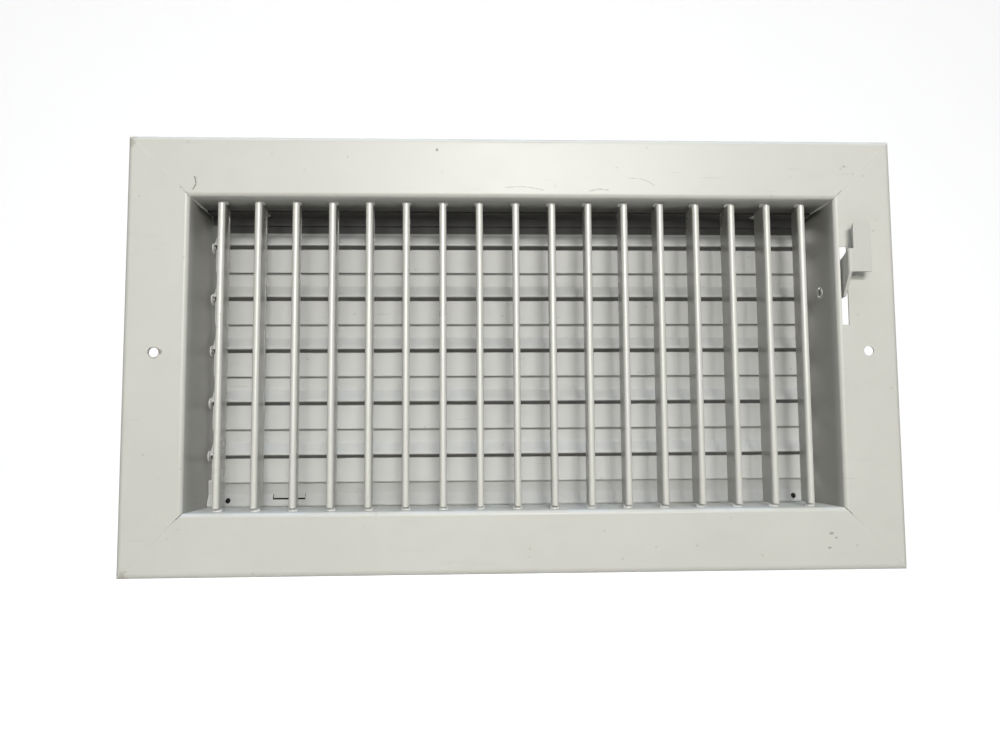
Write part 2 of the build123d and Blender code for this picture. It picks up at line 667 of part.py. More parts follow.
def make_drive_pin():
    """Pin fast in the crank, which runs in the lever's slot."""
    section = Plane(origin=(CRANK_X, DRIVE_Y, DRIVE_Z), x_dir=(0, 1, 0), z_dir=(1, 0, 0))
    with BuildPart() as pin:
        with BuildSketch(section):
            Circle(DRIVE_PIN_R)
        extrude(amount=CRANK_SHEET + LEVER_PLAY + LEVER_SHEET + LEVER_PLAY)
    finish(pin.part, "drive_pin")


# ---- build -----------------------------------------------------------------

os.makedirs("parts", exist_ok=True)
make_rails()
make_corner_gussets()
make_corner_angles()
for fin_number in range(1, FIN_COUNT + 1):
    make_fin(fin_number)
make_fin_bushes(1, "fin_bushes_top")
make_fin_bushes(-1, "fin_bushes_bottom")
for blade_number in range(1, BLADE_COUNT + 1):
    make_blade(blade_number)
    make_blade_pins(blade_number)
make_blade_bushes(-1, "blade_bushes_left")
make_blade_bushes(1, "blade_bushes_right")
make_tie_bar()
make_tie_rivets()
make_top_strip()
make_bottom_strip()
make_strip_rivets()
make_lever()
make_lever_eyelet()
make_lever_spacer()
make_lever_crank()
make_drive_pin()
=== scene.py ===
import json
import math

import bpy
from bpy.props import FloatProperty, FloatVectorProperty, IntProperty, PointerProperty
from mathutils import Matrix, Vector

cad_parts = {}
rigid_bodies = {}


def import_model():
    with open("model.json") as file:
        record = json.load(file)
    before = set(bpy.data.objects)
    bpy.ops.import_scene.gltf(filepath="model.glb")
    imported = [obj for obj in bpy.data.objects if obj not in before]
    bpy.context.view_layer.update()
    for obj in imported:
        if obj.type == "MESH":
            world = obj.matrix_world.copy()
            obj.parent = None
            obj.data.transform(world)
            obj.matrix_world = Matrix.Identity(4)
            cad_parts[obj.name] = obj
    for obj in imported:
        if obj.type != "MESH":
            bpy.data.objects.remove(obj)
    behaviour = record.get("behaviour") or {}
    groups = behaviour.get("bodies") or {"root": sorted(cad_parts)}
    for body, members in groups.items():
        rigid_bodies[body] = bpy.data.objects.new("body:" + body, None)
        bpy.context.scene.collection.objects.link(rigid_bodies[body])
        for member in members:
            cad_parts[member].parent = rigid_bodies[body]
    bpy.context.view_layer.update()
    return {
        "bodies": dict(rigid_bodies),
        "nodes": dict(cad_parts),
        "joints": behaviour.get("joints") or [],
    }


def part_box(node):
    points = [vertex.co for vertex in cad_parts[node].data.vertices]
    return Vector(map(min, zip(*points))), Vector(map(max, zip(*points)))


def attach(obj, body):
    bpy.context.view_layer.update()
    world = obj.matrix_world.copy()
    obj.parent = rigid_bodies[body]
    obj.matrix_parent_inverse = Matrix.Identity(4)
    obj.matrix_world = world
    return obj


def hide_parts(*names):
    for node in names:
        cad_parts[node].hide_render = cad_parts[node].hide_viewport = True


bl_info = {
    "name": "Supply Register",
    "version": (1, 0, 0),
    "blender": (4, 5, 0),
    "location": "3D View > Sidebar > Register",
    "description": "Finishes a sidewall supply register around its packed frame",
    "category": "Add Mesh",
}

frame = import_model()

MM = 0.001
WELD = 0.002 * MM
FLAT = math.radians(0.6)
SHARP = math.radians(32)
SMOOTH = math.radians(48)

JOINTS = {joint["name"]: joint for joint in frame["joints"]}
FINS = sorted(body for body in frame["bodies"] if body.startswith("fin_"))
BLADES = sorted(body for body in frame["bodies"] if body.startswith("damper_blade_"))

# Inner faces of the throat, the face's half sizes and the sheet's thickness, as the frame has them.
HALF_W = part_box("frame_right")[1].x
HALF_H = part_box("frame_top")[1].z
THROAT_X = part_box("frame_right")[0].x
THROAT_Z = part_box("frame_top")[0].z
THROAT_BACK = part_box("frame_top")[1].y
SHEET = 0.8 * MM


# ---- sizes and colours a user would change ----------------------------------

def size_property(name, description, millimetres):
    return FloatProperty(
        name=name, description=description, default=millimetres * MM, unit="LENGTH", precision=5)


def watts_property(name, description, default):
    return FloatProperty(name=name, description=description, default=default)


def colour_property(name, description, *linear):
    return FloatVectorProperty(name=name, description=description, subtype="COLOR", default=linear)


class RegisterSizes(bpy.types.PropertyGroup):
    """Small shapes that soften the sheet metal, in metres."""

    cut_edge: size_property("Cut edge", "Rounding of a painted sheet's cut edges", 0.11)
    stamped_edge: size_property("Stamped edge", "Rounding of the lever's stamped edges", 0.32)
    head_edge: size_property("Head edge", "Rounding of pin and rivet heads", 0.34)
    fin_corner: size_property("Fin corner", "Radius of a fin's two front corners", 2.0)
    fin_end: size_property("Fin end", "Rounding of a fin's two ends", 0.55)
    bead: size_property("Paint bead", "Radius of the throat's paint beads", 0.60)
    turned_sides: IntProperty(
        name="Turned sides", description="Number of flats round a turned piece", default=28, min=12,
        max=64)


class RegisterColours(bpy.types.PropertyGroup):
    """Colours of the finishes, as linear values."""

    enamel: colour_property("Enamel", "Baked enamel on the face and the fins", 0.592, 0.585, 0.530)
    damper: colour_property("Damper paint", "Greyer coat inside", 0.640, 0.642, 0.620)
    # The dark colour painted where shade falls: deep in the throat, under ledges, in the damper's
    # folds and on the top stop strip.
    bare: colour_property("Unsprayed sheet", "Sheet that the spray missed", 0.085, 0.082, 0.078)
    grime: colour_property("Grime", "Brownish handling dirt", 0.120, 0.092, 0.058)
    steel: colour_property("Bare steel", "Steel where the coat has worn off", 0.360, 0.345, 0.320)
    zinc: colour_property("Zinc", "Galvanised sheet", 0.560, 0.580, 0.600)
    plating: colour_property("Plating", "Zinc plating on pins and rivets", 0.740, 0.730, 0.690)
    nylon: colour_property("Nylon", "Natural nylon of the bushes", 0.790, 0.790, 0.760)


class RegisterStudio(bpy.types.PropertyGroup):
    """Camera and lights."""

    lens: FloatProperty(
        name="Lens", description="Focal length in millimetres on a 36 mm sensor", default=28.8)
    eye: FloatVectorProperty(
        name="Eye", description="Camera's place", subtype="TRANSLATION", unit="LENGTH",
        default=(-0.0221, -0.3562, -0.0388))
    aim: FloatVectorProperty(
        name="Aim", description="Camera's pitch, roll and turn", subtype="EULER", unit="ROTATION",
        default=(math.radians(94.533), math.radians(0.379), math.radians(-2.243)))
    key: watts_property("Key light", "Watts of the broad light above the camera", 14.0)
    front: watts_property("Front light", "Watts of the fill beside the camera", 5.8)
    overhead: watts_property("Overhead", "Watts of the cool light from above", 8.5)
    rear: watts_property("Rear light", "Watts of the soft light behind", 14.0)
    sky: FloatProperty(name="Sky", description="Strength of the ambient light", default=0.035)


def sizes():
    return bpy.context.scene.register_sizes


def colours():
    return bpy.context.scene.register_colours


def studio():
    return bpy.context.scene.register_studio


# ---- working on meshes ------------------------------------------------------

def take(piece):
    """Makes piece the only selected object, and the active one."""
    if bpy.context.object and bpy.context.object.mode != "OBJECT":
        bpy.ops.object.mode_set(mode="OBJECT")
    bpy.ops.object.select_all(action="DESELECT")
    piece.select_set(True)
    bpy.context.view_layer.objects.active = piece
    return piece


def renamed(piece, name):
    piece.name = name
    piece.data.name = name
    return piece


def edit(piece, kind="VERT"):
    """Opens piece for editing with nothing selected."""
    take(piece)
    bpy.ops.object.mode_set(mode="EDIT")
    bpy.ops.mesh.select_mode(type=kind)
    bpy.ops.mesh.select_all(action="DESELECT")


def pick(piece, kind, wanted):
    """Selects the vertices, edges or faces that wanted() is true of, in edit mode."""
    edit(piece, kind)
    bpy.ops.object.mode_set(mode="OBJECT")
    mesh = piece.data
    for part in {"VERT": mesh.vertices, "EDGE": mesh.edges, "FACE": mesh.polygons}[kind]:
        part.select = wanted(part)
    bpy.ops.object.mode_set(mode="EDIT")


def ends(piece, edge):
    """The two end points of an edge."""
    return [piece.data.vertices[v].co for v in edge.vertices]


def run_of(piece, edge, direction):
    """How far an edge goes along a direction."""
    start, end = ends(piece, edge)
    return abs((end - start).dot(direction))


def close_edit():
    bpy.ops.object.mode_set(mode="OBJECT")


def outward(piece):
    """Merges doubles and turns every face outwards."""
    edit(piece)
    bpy.ops.mesh.select_all(action="SELECT")
    bpy.ops.mesh.remove_doubles(threshold=WELD)
    bpy.ops.mesh.normals_make_consistent(inside=False)
    close_edit()
    return piece


def settle(piece):
    """Puts piece's place, turn and size into its mesh."""
    take(piece)
    bpy.ops.object.transform_apply(location=True, rotation=True, scale=True)
    return piece


def rounded(piece, width, segments=3):
    """Rounds the sharp edges and evens the shading between the flats."""
    take(piece)
    bevel = piece.modifiers.new("Rounding", "BEVEL")
    bevel.width = width
    bevel.segments = segments
    bevel.limit_method = "ANGLE"
    bevel.angle_limit = SHARP
    bpy.ops.object.modifier_apply(modifier=bevel.name)
    bpy.ops.object.shade_smooth_by_angle(angle=SMOOTH)
    weighted = piece.modifiers.new("Flats", "WEIGHTED_NORMAL")
    weighted.keep_sharp = True
    weighted.weight = 80
    bpy.ops.object.modifier_apply(modifier=weighted.name)
    return piece


def copied_sheet(node, name):
    """A welded copy of a CAD node, with its flat faces whole again."""
    source = frame["nodes"][node]
    piece = bpy.data.objects.new(name, source.data.copy())
    bpy.context.scene.collection.objects.link(piece)
    renamed(piece, name)
    piece.data.materials.clear()
    take(piece)
    bpy.ops.mesh.customdata_custom_splitnormals_clear()
    edit(piece)
    bpy.ops.mesh.select_all(action="SELECT")
    bpy.ops.mesh.remove_doubles(threshold=WELD)
    bpy.ops.mesh.dissolve_limited(angle_limit=FLAT)
    close_edit()
    return piece


def turned(name, rings, bore=True):
    """A turned piece about +Z: rings of (radius, height), each extruded from the one before.

    With a bore the last ring is bridged to the first, and without one both ends are filled.
    """
    radius, height = rings[0]
    bpy.ops.object.select_all(action="DESELECT")
    bpy.ops.mesh.primitive_circle_add(
        vertices=sizes().turned_sides, radius=radius, fill_type="NOTHING", location=(0, 0, height))
    piece = renamed(settle(bpy.context.object), name)
    edit(piece)
    bpy.ops.mesh.select_all(action="SELECT")
    for (was_radius, was_height), (radius, height) in zip(rings, rings[1:]):
        rise = (0, 0, height - was_height)
        grow = radius / was_radius
        bpy.ops.mesh.extrude_edges_move(TRANSFORM_OT_translate={"value": rise})
        bpy.ops.transform.resize(value=(grow, grow, 1), center_override=(0, 0, height))
    if bore:
        bpy.ops.mesh.select_all(action="DESELECT")
        bpy.ops.mesh.select_non_manifold()
        bpy.ops.mesh.bridge_edge_loops()
    else:
        bpy.ops.mesh.select_all(action="SELECT")
        bpy.ops.mesh.fill_holes(sides=0)
    close_edit()
    outward(piece)
    bpy.ops.object.shade_smooth_by_angle(angle=SMOOTH)
    return piece


def primitive(kind, name, size, location, rotation=(0, 0, 0)):
    """A plane or a cube of some size, with its place and turn in its mesh."""
    bpy.ops.object.select_all(action="DESELECT")
    {"plane": bpy.ops.mesh.primitive_plane_add, "cube": bpy.ops.mesh.primitive_cube_add}[kind](
        size=1, location=location, rotation=rotation)
    bpy.context.object.scale = size
    return renamed(settle(bpy.context.object), name)


def standing(direction):
    """The turn that takes +Z to a direction."""
    return Vector(direction).to_track_quat("Z", "Y").to_matrix().to_4x4()


def copied(pattern, matrix):
    """A copy of pattern, with its place and turn in its mesh."""
    take(pattern)
    bpy.ops.object.duplicate()
    bpy.context.object.matrix_world = matrix
    return settle(bpy.context.object)


def joined(pieces, name):
    """The pieces as one, in the order given."""
    take(pieces[0])
    for piece in pieces[1:]:
        piece.select_set(True)
    if len(pieces) > 1:
        bpy.ops.object.join()
    return renamed(bpy.context.object, name)


def set_out(pattern, name, places):
    """Joined copies of pattern, each at (spot, direction of its +Z). The pattern goes away."""
    copies = [copied(pattern, Matrix.Translation(spot) @ standing(way)) for spot, way in places]
    piece = joined(copies, name)
    bpy.data.objects.remove(pattern)
    return piece


def bush_sizes(node, axis, wall):
    """A bush's flange before the throat wall, its length behind the wall, and its radius."""
    low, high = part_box(node)
    near, far = sorted((abs(low[axis]), abs(high[axis])))
    return wall - near, far - wall, (high.y - low.y) / 2


def fit(piece, body, finish, slot, *nodes):
    """Paints piece, hangs it on its body and lets it stand for its CAD nodes."""
    piece.data.materials.clear()
    piece.data.materials.append(FINISHES[finish])
    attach(piece, body)
    if nodes:
        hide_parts(*nodes)


def fit_sheet(node, name, edge, body, finish, slot):
    """A CAD node's own shape with rounded edges, fitted in its place."""
    fit(rounded(copied_sheet(node, name), edge), body, finish, slot, node)


# ---- shader node groups -----------------------------------------------------

class Nodes:
    """Adds nodes to one tree and links them, so that an effect reads from top to bottom."""

    def __init__(self, tree):
        self.tree = tree

    def add(self, kind, settings=None, **inputs):
        node = self.tree.nodes.new(kind)
        for key, value in (settings or {}).items():
            setattr(node, key, value)
        for key, value in inputs.items():
            self.put(node.inputs[key.replace("_", " ")], value)
        return node

    def put(self, socket, value):
        if isinstance(value, bpy.types.NodeSocket):
            self.tree.links.new(value, socket)
        else:
            socket.default_value = value

    def math(self, operation, *values, clamp=False):
        node = self.add("ShaderNodeMath", {"operation": operation, "use_clamp": clamp})
        for socket, value in zip(node.inputs, values):
            self.put(socket, value)
        return node.outputs[0]

    def times(self, *values, clamp=False):
        return self.math("MULTIPLY", *values, clamp=clamp)

    def plus(self, *values, clamp=False):
        return self.math("ADD", *values, clamp=clamp)

    def minus(self, *values):
        return self.math("SUBTRACT", *values)

    def ratio(self, *values):
        return self.math("DIVIDE", *values)

    def axes(self, vector):
        """The X, Y and Z of a vector."""
        return self.add("ShaderNodeSeparateXYZ", Vector=vector).outputs

    def vector(self, operation, *values):
        node = self.add("ShaderNodeVectorMath", {"operation": operation})
        for socket, value in zip(node.inputs, values):
            self.put(socket, value)
        return node.outputs["Value" if operation in ("DOT_PRODUCT", "LENGTH") else "Vector"]

    def step(self, value, low, high):
        """0 below low, 1 above high, and smooth between."""
        node = self.add("ShaderNodeMapRange", {"interpolation_type": "SMOOTHSTEP"})
        for key, entry in (("Value", value), ("From Min", low), ("From Max", high)):
            self.put(node.inputs[key], entry)
        return node.outputs["Result"]

    def blend(self, share, first, second):
        """The colour first, going to second as share goes to 1."""
        node = self.add("ShaderNodeMix", {"data_type": "RGBA"})
        self.put(node.inputs["Factor"], share)
        self.put(node.inputs[6], first)
        self.put(node.inputs[7], second)
        return node.outputs[2]

    def noise(self, where, scale, detail=3.0, roughness=0.5):
        return self.add("ShaderNodeTexNoise", Vector=where, Scale=scale, Detail=detail,
                        Roughness=roughness).outputs["Fac"]

    def place(self):
        return self.add("ShaderNodeTexCoord").outputs["Object"]

    def stretched(self, where, scale=(1, 1, 1), turn=(0, 0, 0), shift=(0, 0, 0)):
        return self.add("ShaderNodeMapping", Vector=where, Location=shift, Rotation=turn,
                        Scale=scale).outputs["Vector"]


def effect(name, outputs=("Mask",), **inputs):
    """An empty node group: inputs of 1, 3 or 4 numbers make float, vector or colour sockets."""
    tree = bpy.data.node_groups.new(name, "ShaderNodeTree")
    for label, default in inputs.items():
        kind = {3: "Vector", 4: "Color"}[len(default)] if isinstance(default, tuple) else "Float"
        socket = tree.interface.new_socket(
            label.replace("_", " "), in_out="INPUT", socket_type="NodeSocket" + kind)
        socket.default_value = default
    for label in outputs:
        kind = "Color" if label == "Color" else "Float"
        tree.interface.new_socket(label, in_out="OUTPUT", socket_type="NodeSocket" + kind)
    nodes = Nodes(tree)
    given = nodes.add("NodeGroupInput")
    result = nodes.add("NodeGroupOutput")
    return nodes, given.outputs, result.inputs


def coat_effect():
    """Sprayed enamel: slow colour drift, faint specks and orange peel."""
    n, given, out = effect(
        "Sprayed coat", ("Color", "Roughness", "Height"),
        Paint=(0.6, 0.6, 0.6, 1), Drift=0.06, Roughness=0.36)
    where = n.place()
    slow = n.noise(where, 14.0, 4.0, 0.55)
    fine = n.noise(where, 90.0, 5.0, 0.6)
    cloud = n.plus(n.times(slow, 0.65), n.times(fine, 0.35))
    shade = n.minus(cloud, 0.5)
    level = n.plus(1.0, n.times(shade, n.times(given["Drift"], 4.0)))
    tint = n.vector("SCALE", given["Paint"])
    n.put(tint.node.inputs["Scale"], level)
    grit = n.add("ShaderNodeTexVoronoi", {"feature": "DISTANCE_TO_EDGE"}, Vector=where, Scale=520.0)
    dots = n.add("ShaderNodeTexVoronoi", Vector=where, Scale=210.0)
    rare = n.math("GREATER_THAN", dots.outputs["Color"], 0.86)
    speck = n.times(rare, n.step(dots.outputs["Distance"], 0.16, 0.06))
    mask = n.times(speck, 0.3)
    n.put(out["Color"], n.blend(mask, tint, (0.30, 0.27, 0.21, 1)))
    rough = n.plus(given["Roughness"], n.times(shade, 0.22))
    n.put(out["Roughness"], n.plus(rough, n.times(mask, 0.2)))
    peel = n.plus(n.noise(where, 1100.0, 2.0, 0.45), n.times(slow, 0.5))
    ripple = n.times(grit.outputs["Distance"], 0.25)
    n.put(out["Height"], n.plus(peel, ripple))
    return n.tree


def wear_effect():
    """Worn and chipped edges, found from how far a rounded normal leans from the face's own."""
    n, given, out = effect("Edge wear", Radius=0.5 * MM, Amount=0.5)
    eased = n.add("ShaderNodeBevel", {"samples": 4}, Radius=given["Radius"]).outputs["Normal"]
    true = n.add("ShaderNodeNewGeometry").outputs["True Normal"]
    lean = n.minus(1.0, n.vector("DOT_PRODUCT", eased, true))
    edge = n.step(lean, 0.02, 0.22)
    where = n.place()
    patch = n.step(n.noise(where, 42.0, 3.0, 0.6), 0.46, 0.66)
    bite = n.step(n.noise(where, 260.0, 4.0, 0.7), 0.47, 0.58)
    worn = n.times(n.times(edge, patch), bite)
    n.put(out["Mask"], n.times(worn, given["Amount"], clamp=True))
    return n.tree


def dust_effect():
    """Pale dust on faces that look up, thicker in patches."""
    n, given, out = effect("Settled dust", Amount=0.4)
    normal = n.add("ShaderNodeNewGeometry").outputs["Normal"]
    up = n.axes(normal)["Z"]
    where = n.place()
    patch = n.noise(where, 36.0, 3.0, 0.6)
    grain = n.noise(where, 240.0, 5.0, 0.7)
    lying = n.step(up, 0.12, 0.9)
    heap = n.step(n.plus(n.times(patch, 0.6), n.times(grain, 0.4)), 0.36, 0.66)
    n.put(out["Mask"], n.times(n.times(lying, heap), given["Amount"]))
    return n.tree


def scuff_effect():
    """Fine hairline scratches in two directions and soft handling smudges."""
    n, given, out = effect("Scuffs", ("Hairline", "Smudge"), Hairlines=0.5, Smudges=0.5)
    where = n.place()
    lines = []
    for turn, seed in ((0.5, 0.11), (-0.9, 0.37)):
        laid = n.stretched(where, scale=(24, 24, 900), turn=(0, turn, 0), shift=(seed, 0, seed))
        streak = n.step(n.noise(laid, 1.0, 2.0, 0.5), 0.70, 0.73)
        where_not = n.step(n.noise(where, 30.0 + 40 * seed, 2.0), 0.50, 0.60)
        lines.append(n.times(streak, where_not))
    both = n.math("MAXIMUM", *lines)
    n.put(out["Hairline"], n.times(both, given["Hairlines"]))
    drag = n.noise(n.stretched(where, scale=(1.0, 1.0, 3.4)), 26.0, 5.0, 0.62)
    n.put(out["Smudge"], n.times(n.step(drag, 0.56, 0.80), given["Smudges"]))
    return n.tree


def stain_effect():
    """One ragged stain on the face round a spot: its middle is (x, 0, z), and its depth is free."""
    n, given, out = effect("Ragged stain", Middle=(0, 0, 0), Size=4 * MM, Flatten=1.0, Ragged=0.6)
    where = n.place()
    gap = n.vector("SUBTRACT", where, given["Middle"])
    parts = n.axes(gap)
    high = n.times(parts["Z"], given["Flatten"])
    span = n.add("ShaderNodeCombineXYZ", X=parts["X"], Y=0.0, Z=high).outputs["Vector"]
    reach = n.ratio(n.vector("LENGTH", span), given["Size"])
    wander = n.times(n.minus(n.noise(where, 420.0, 4.0, 0.65), 0.5), 2.0)
    front = n.plus(reach, n.times(wander, given["Ragged"]))
    n.put(out["Mask"], n.step(front, 1.0, 0.72))
    return n.tree


def depth_effect():
    """A mask for painted shade: high up and far back, with a ragged front."""
    n, given, out = effect(
        "Unsprayed depth", Start=9 * MM, Full=19 * MM,
        Low=THROAT_Z - 4 * MM, High=THROAT_Z - 1.5 * MM)
    where = n.place()
    parts = n.axes(where)
    ragged = n.times(n.minus(n.noise(where, 110.0, 4.0, 0.6), 0.5), 9 * MM)
    back = n.step(n.plus(parts["Y"], ragged), given["Start"], given["Full"])
    top = n.step(parts["Z"], given["Low"], given["High"])
    n.put(out["Mask"], n.times(back, top))
    return n.tree


def inside_effect():
    """Painted shade behind the face: none on faces that look up, more on faces that look left than
    right, and undersides in a mask of their own.
    """
    n, given, out = effect("Thin coat inside", ("Mask", "Under"), Start=1 * MM, Full=9 * MM)
    where = n.place()
    deep = n.step(n.axes(where)["Y"], given["Start"], given["Full"])
    normal = n.add("ShaderNodeNewGeometry").outputs["Normal"]
    facing = n.axes(normal)
    # Painted shade: faces that look left, away from the light on the right, get the full share, and
    # faces that look right get 0.7 of it.
    left = n.plus(0.70, n.times(n.step(facing["X"], 0.0, -0.7), 0.30))
    upright = n.step(facing["Z"], 0.6, 0.2)
    n.put(out["Mask"], n.times(n.times(deep, upright), left))
    n.put(out["Under"], n.times(deep, n.step(facing["Z"], -0.15, -0.7)))
    return n.tree


def fold_effect():
    """Painted shade in a line across each blade, one line to a pitch, where a fold or joint lies in
    shadow.
    """
    n, given, out = effect("Fold dirt", Line=0.0, Pitch=25 * MM, Half_width=0.7 * MM)
    where = n.place()
    height = n.axes(where)["Z"]
    turns = n.ratio(n.minus(height, given["Line"]), given["Pitch"])
    gap = n.math("ABSOLUTE", n.minus(n.math("FRACT", n.plus(turns, 0.5)), 0.5))
    wide = n.times(given["Half width"], n.plus(0.6, n.noise(where, 130.0, 3.0)))
    n.put(out["Mask"], n.step(n.ratio(n.times(gap, given["Pitch"]), wide), 1.2, 0.5))
    return n.tree


def scratch_effect():
    """One short wavering scratch or hair, standing nearly upright on the face."""
    n, given, out = effect(
        "Wavering mark", Middle=(0, 0, 0), Half_length=3 * MM, Half_width=0.2 * MM,
        Sway=0.8 * MM, Turn=0.0)
    where = n.place()
    gap = n.vector("SUBTRACT", where, given["Middle"])
    about_y = {"rotation_type": "Y_AXIS"}
    spun = n.add("ShaderNodeVectorRotate", about_y, Vector=gap, Angle=given["Turn"])
    parts = n.axes(spun.outputs["Vector"])
    run = n.ratio(parts["Z"], given["Half length"])
    sway = n.times(n.math("COSINE", n.times(run, 2.6)), given["Sway"])
    aside = n.math("ABSOLUTE", n.minus(parts["X"], sway))
    thin = n.step(n.ratio(aside, given["Half width"]), 1.3, 0.4)
    ends_in = n.step(n.math("ABSOLUTE", run), 1.0, 0.85)
    broken = n.step(n.noise(where, 900.0, 2.0), 0.36, 0.50)
    n.put(out["Mask"], n.times(n.times(thin, ends_in), broken))
    return n.tree


EFFECTS = {}


def build_effects():
    for make in (coat_effect, wear_effect, dust_effect, scuff_effect, stain_effect, scratch_effect,
                 depth_effect, inside_effect, fold_effect):
        EFFECTS[make.__name__.split("_")[0]] = make()


# ---- materials --------------------------------------------------------------

def colour(value):
    return (*value, 1.0)


def scaled(value, factor):
    """A lighter or darker colour."""
    return colour([factor * part for part in value])


def start_material(name):
    """A new material with its Principled shader and a helper that adds nodes to it."""
    material = bpy.data.materials.new(name)
    material.use_nodes = True
    n = Nodes(material.node_tree)
    shader = material.node_tree.nodes["Principled BSDF"]
    return material, n, shader


def place_effect(n, key, **inputs):
    node = n.add("ShaderNodeGroup", {"node_tree": EFFECTS[key]})
    for label, value in inputs.items():
        n.put(node.inputs[label.replace("_", " ")], value)
    return node.outputs


def bump(n, shader, height, distance, strength=1.0):
    node = n.add("ShaderNodeBump", Height=height, Distance=distance, Strength=strength)
    n.put(shader.inputs["Normal"], node.outputs["Normal"])


def painted(name, paint, drift=0.05, roughness=0.36, wear=0.5, dust=0.35, hairlines=0.4,
            smudges=0.3, marks=None, gloss=0.45, thin=0.0, under=0.0):
    """Painted sheet: coat, smudges, hairlines, dust and worn edges. marks adds own blemishes and
    painted shade.

    thin and under are how much painted shade darkens the inside, on upright faces and on
    undersides.
    """
    material, n, shader = start_material(name)
    grime = colour(colours().grime)
    bare = colour(colours().bare)
    coat = place_effect(n, "coat", Paint=paint, Drift=drift, Roughness=roughness)
    scuff = place_effect(n, "scuff", Hairlines=hairlines, Smudges=smudges)
    lying = place_effect(n, "dust", Amount=dust)
    worn = place_effect(n, "wear", Amount=wear, Radius=0.45 * MM)
    tone = n.blend(n.times(scuff["Smudge"], 0.20), coat["Color"], grime)
    tone = n.blend(n.times(scuff["Hairline"], 0.35), tone, grime)
    tone = n.blend(n.times(lying["Mask"], 0.6), tone, (0.72, 0.77, 0.83, 1))
    # Painted shade: thin darkens upright faces inside the throat, under darkens undersides.
    if thin or under:
        inside = place_effect(n, "inside")
        tone = n.blend(n.times(inside["Mask"], thin), tone, bare)
        tone = n.blend(n.times(inside["Under"], under), tone, bare)
    if marks:
        tone = marks(n, tone)
    tone = n.blend(n.times(worn["Mask"], 0.75), tone, colour(colours().steel))
    n.put(shader.inputs["Base Color"], tone)
    rough = n.plus(coat["Roughness"], n.times(lying["Mask"], 0.3))
    rough = n.plus(rough, n.times(scuff["Smudge"], 0.12), clamp=True)
    n.put(shader.inputs["Roughness"], rough)
    n.put(shader.inputs["Metallic"], n.times(worn["Mask"], 0.7))
    height = n.minus(coat["Height"], n.times(scuff["Hairline"], 0.6))
    height = n.minus(height, n.times(worn["Mask"], 0.9))
    bump(n, shader, height, 0.03 * MM, 0.6)
    shader.inputs["Specular IOR Level"].default_value = gloss
    return material


# Blemishes of the face, each with its spot on it (x, z) in metres.
LEFT_SCREW = (-HALF_W + (HALF_W - THROAT_X) / 2, 0.0)
STAINS = [
    # spot, size, flatten, raggedness, strength, tone
    ((LEFT_SCREW[0] + 1.6 * MM, 0.3 * MM), 2.6 * MM, 1.5, 0.7, 0.55, (0.13, 0.085, 0.045, 1)),
    ((LEFT_SCREW[0], 0.0), 2.9 * MM, 1.0, 0.35, 0.75, (0.07, 0.05, 0.03, 1)),
    ((-36 * MM, 92.5 * MM), 0.8 * MM, 1.0, 0.4, 0.65, (0.16, 0.13, 0.09, 1)),
    ((152.5 * MM, 86 * MM), 0.9 * MM, 1.3, 0.6, 0.35, (0.2, 0.17, 0.12, 1)),
    ((140 * MM, -82.0 * MM), 1.0 * MM, 1.6, 0.8, 0.5, (0.12, 0.12, 0.11, 1)),
    ((142 * MM, -84.0 * MM), 0.8 * MM, 1.4, 0.8, 0.5, (0.12, 0.12, 0.11, 1)),
    ((139 * MM, -88.4 * MM), 1.1 * MM, 2.2, 0.8, 0.5, (0.12, 0.12, 0.11, 1)),
    ((-172 * MM, -97 * MM), 3.0 * MM, 1.2, 1.6, 0.38, (0.24, 0.20, 0.13, 1)),
    ((-173 * MM, 96.5 * MM), 2.4 * MM, 0.6, 1.6, 0.34, (0.26, 0.22, 0.15, 1)),
]
WAVERING = [
    # spot, half length, half width, sway, turn, strength
    ((-144.6 * MM, 76.4 * MM), 3.4 * MM, 0.34 * MM, 0.60 * MM, -0.10, 0.85),
    ((4 * MM, 75.0 * MM), 9.5 * MM, 0.30 * MM, 0.5 * MM, 1.50, 0.38),
    ((58 * MM, 78.6 * MM), 7.0 * MM, 0.26 * MM, 0.7 * MM, 1.30, 0.34),
    ((38 * MM, 74.2 * MM), 5.0 * MM, 0.4 * MM, 0.4 * MM, 1.62, 0.42),
]
CRACKS = [
    # the mitres' open ends at the throat: corner (side, up), half length, half width, strength
    ((-1, 1), 2.9 * MM, 0.30 * MM, 0.85), ((1, 1), 3.2 * MM, 0.20 * MM, 0.55),
    ((-1, -1), 1.8 * MM, 0.26 * MM, 0.75), ((1, -1), 2.2 * MM, 0.24 * MM, 0.70),
]


def face_marks(n, tone):
    """The face's own blemishes, and painted shade on the back of the throat's top wall."""
    # Painted shade: the back of the top throat wall faces down and gets little light, so its colour
    # is darkened.
    throat_top_shade = place_effect(n, "depth")["Mask"]
    tone = n.blend(n.times(throat_top_shade, 0.85), tone, colour(colours().bare))
    for (x, z), size, flatten, ragged, strength, shade in STAINS:
        stain = place_effect(n, "stain", Middle=(x, 0, z), Size=size, Flatten=flatten,
                             Ragged=ragged)
        tone = n.blend(n.times(stain["Mask"], strength), tone, shade)
    for (x, z), long, wide, sway, turn, strength in WAVERING:
        line = place_effect(n, "scratch", Middle=(x, 0, z), Half_length=long, Half_width=wide,
                            Sway=sway, Turn=turn)
        tone = n.blend(n.times(line["Mask"], strength), tone, (0.15, 0.11, 0.07, 1))
    for (side, up), long, wide, strength in CRACKS:
        out = long / math.sqrt(2)
        middle = (side * (THROAT_X + out), 0, up * (THROAT_Z + out))
        crack = place_effect(n, "scratch", Middle=middle, Half_length=long, Half_width=wide,
                             Sway=0.05 * MM, Turn=-side * up * math.pi / 4)
        tone = n.blend(n.times(crack["Mask"], strength), tone, (0.07, 0.06, 0.05, 1))
    return tone


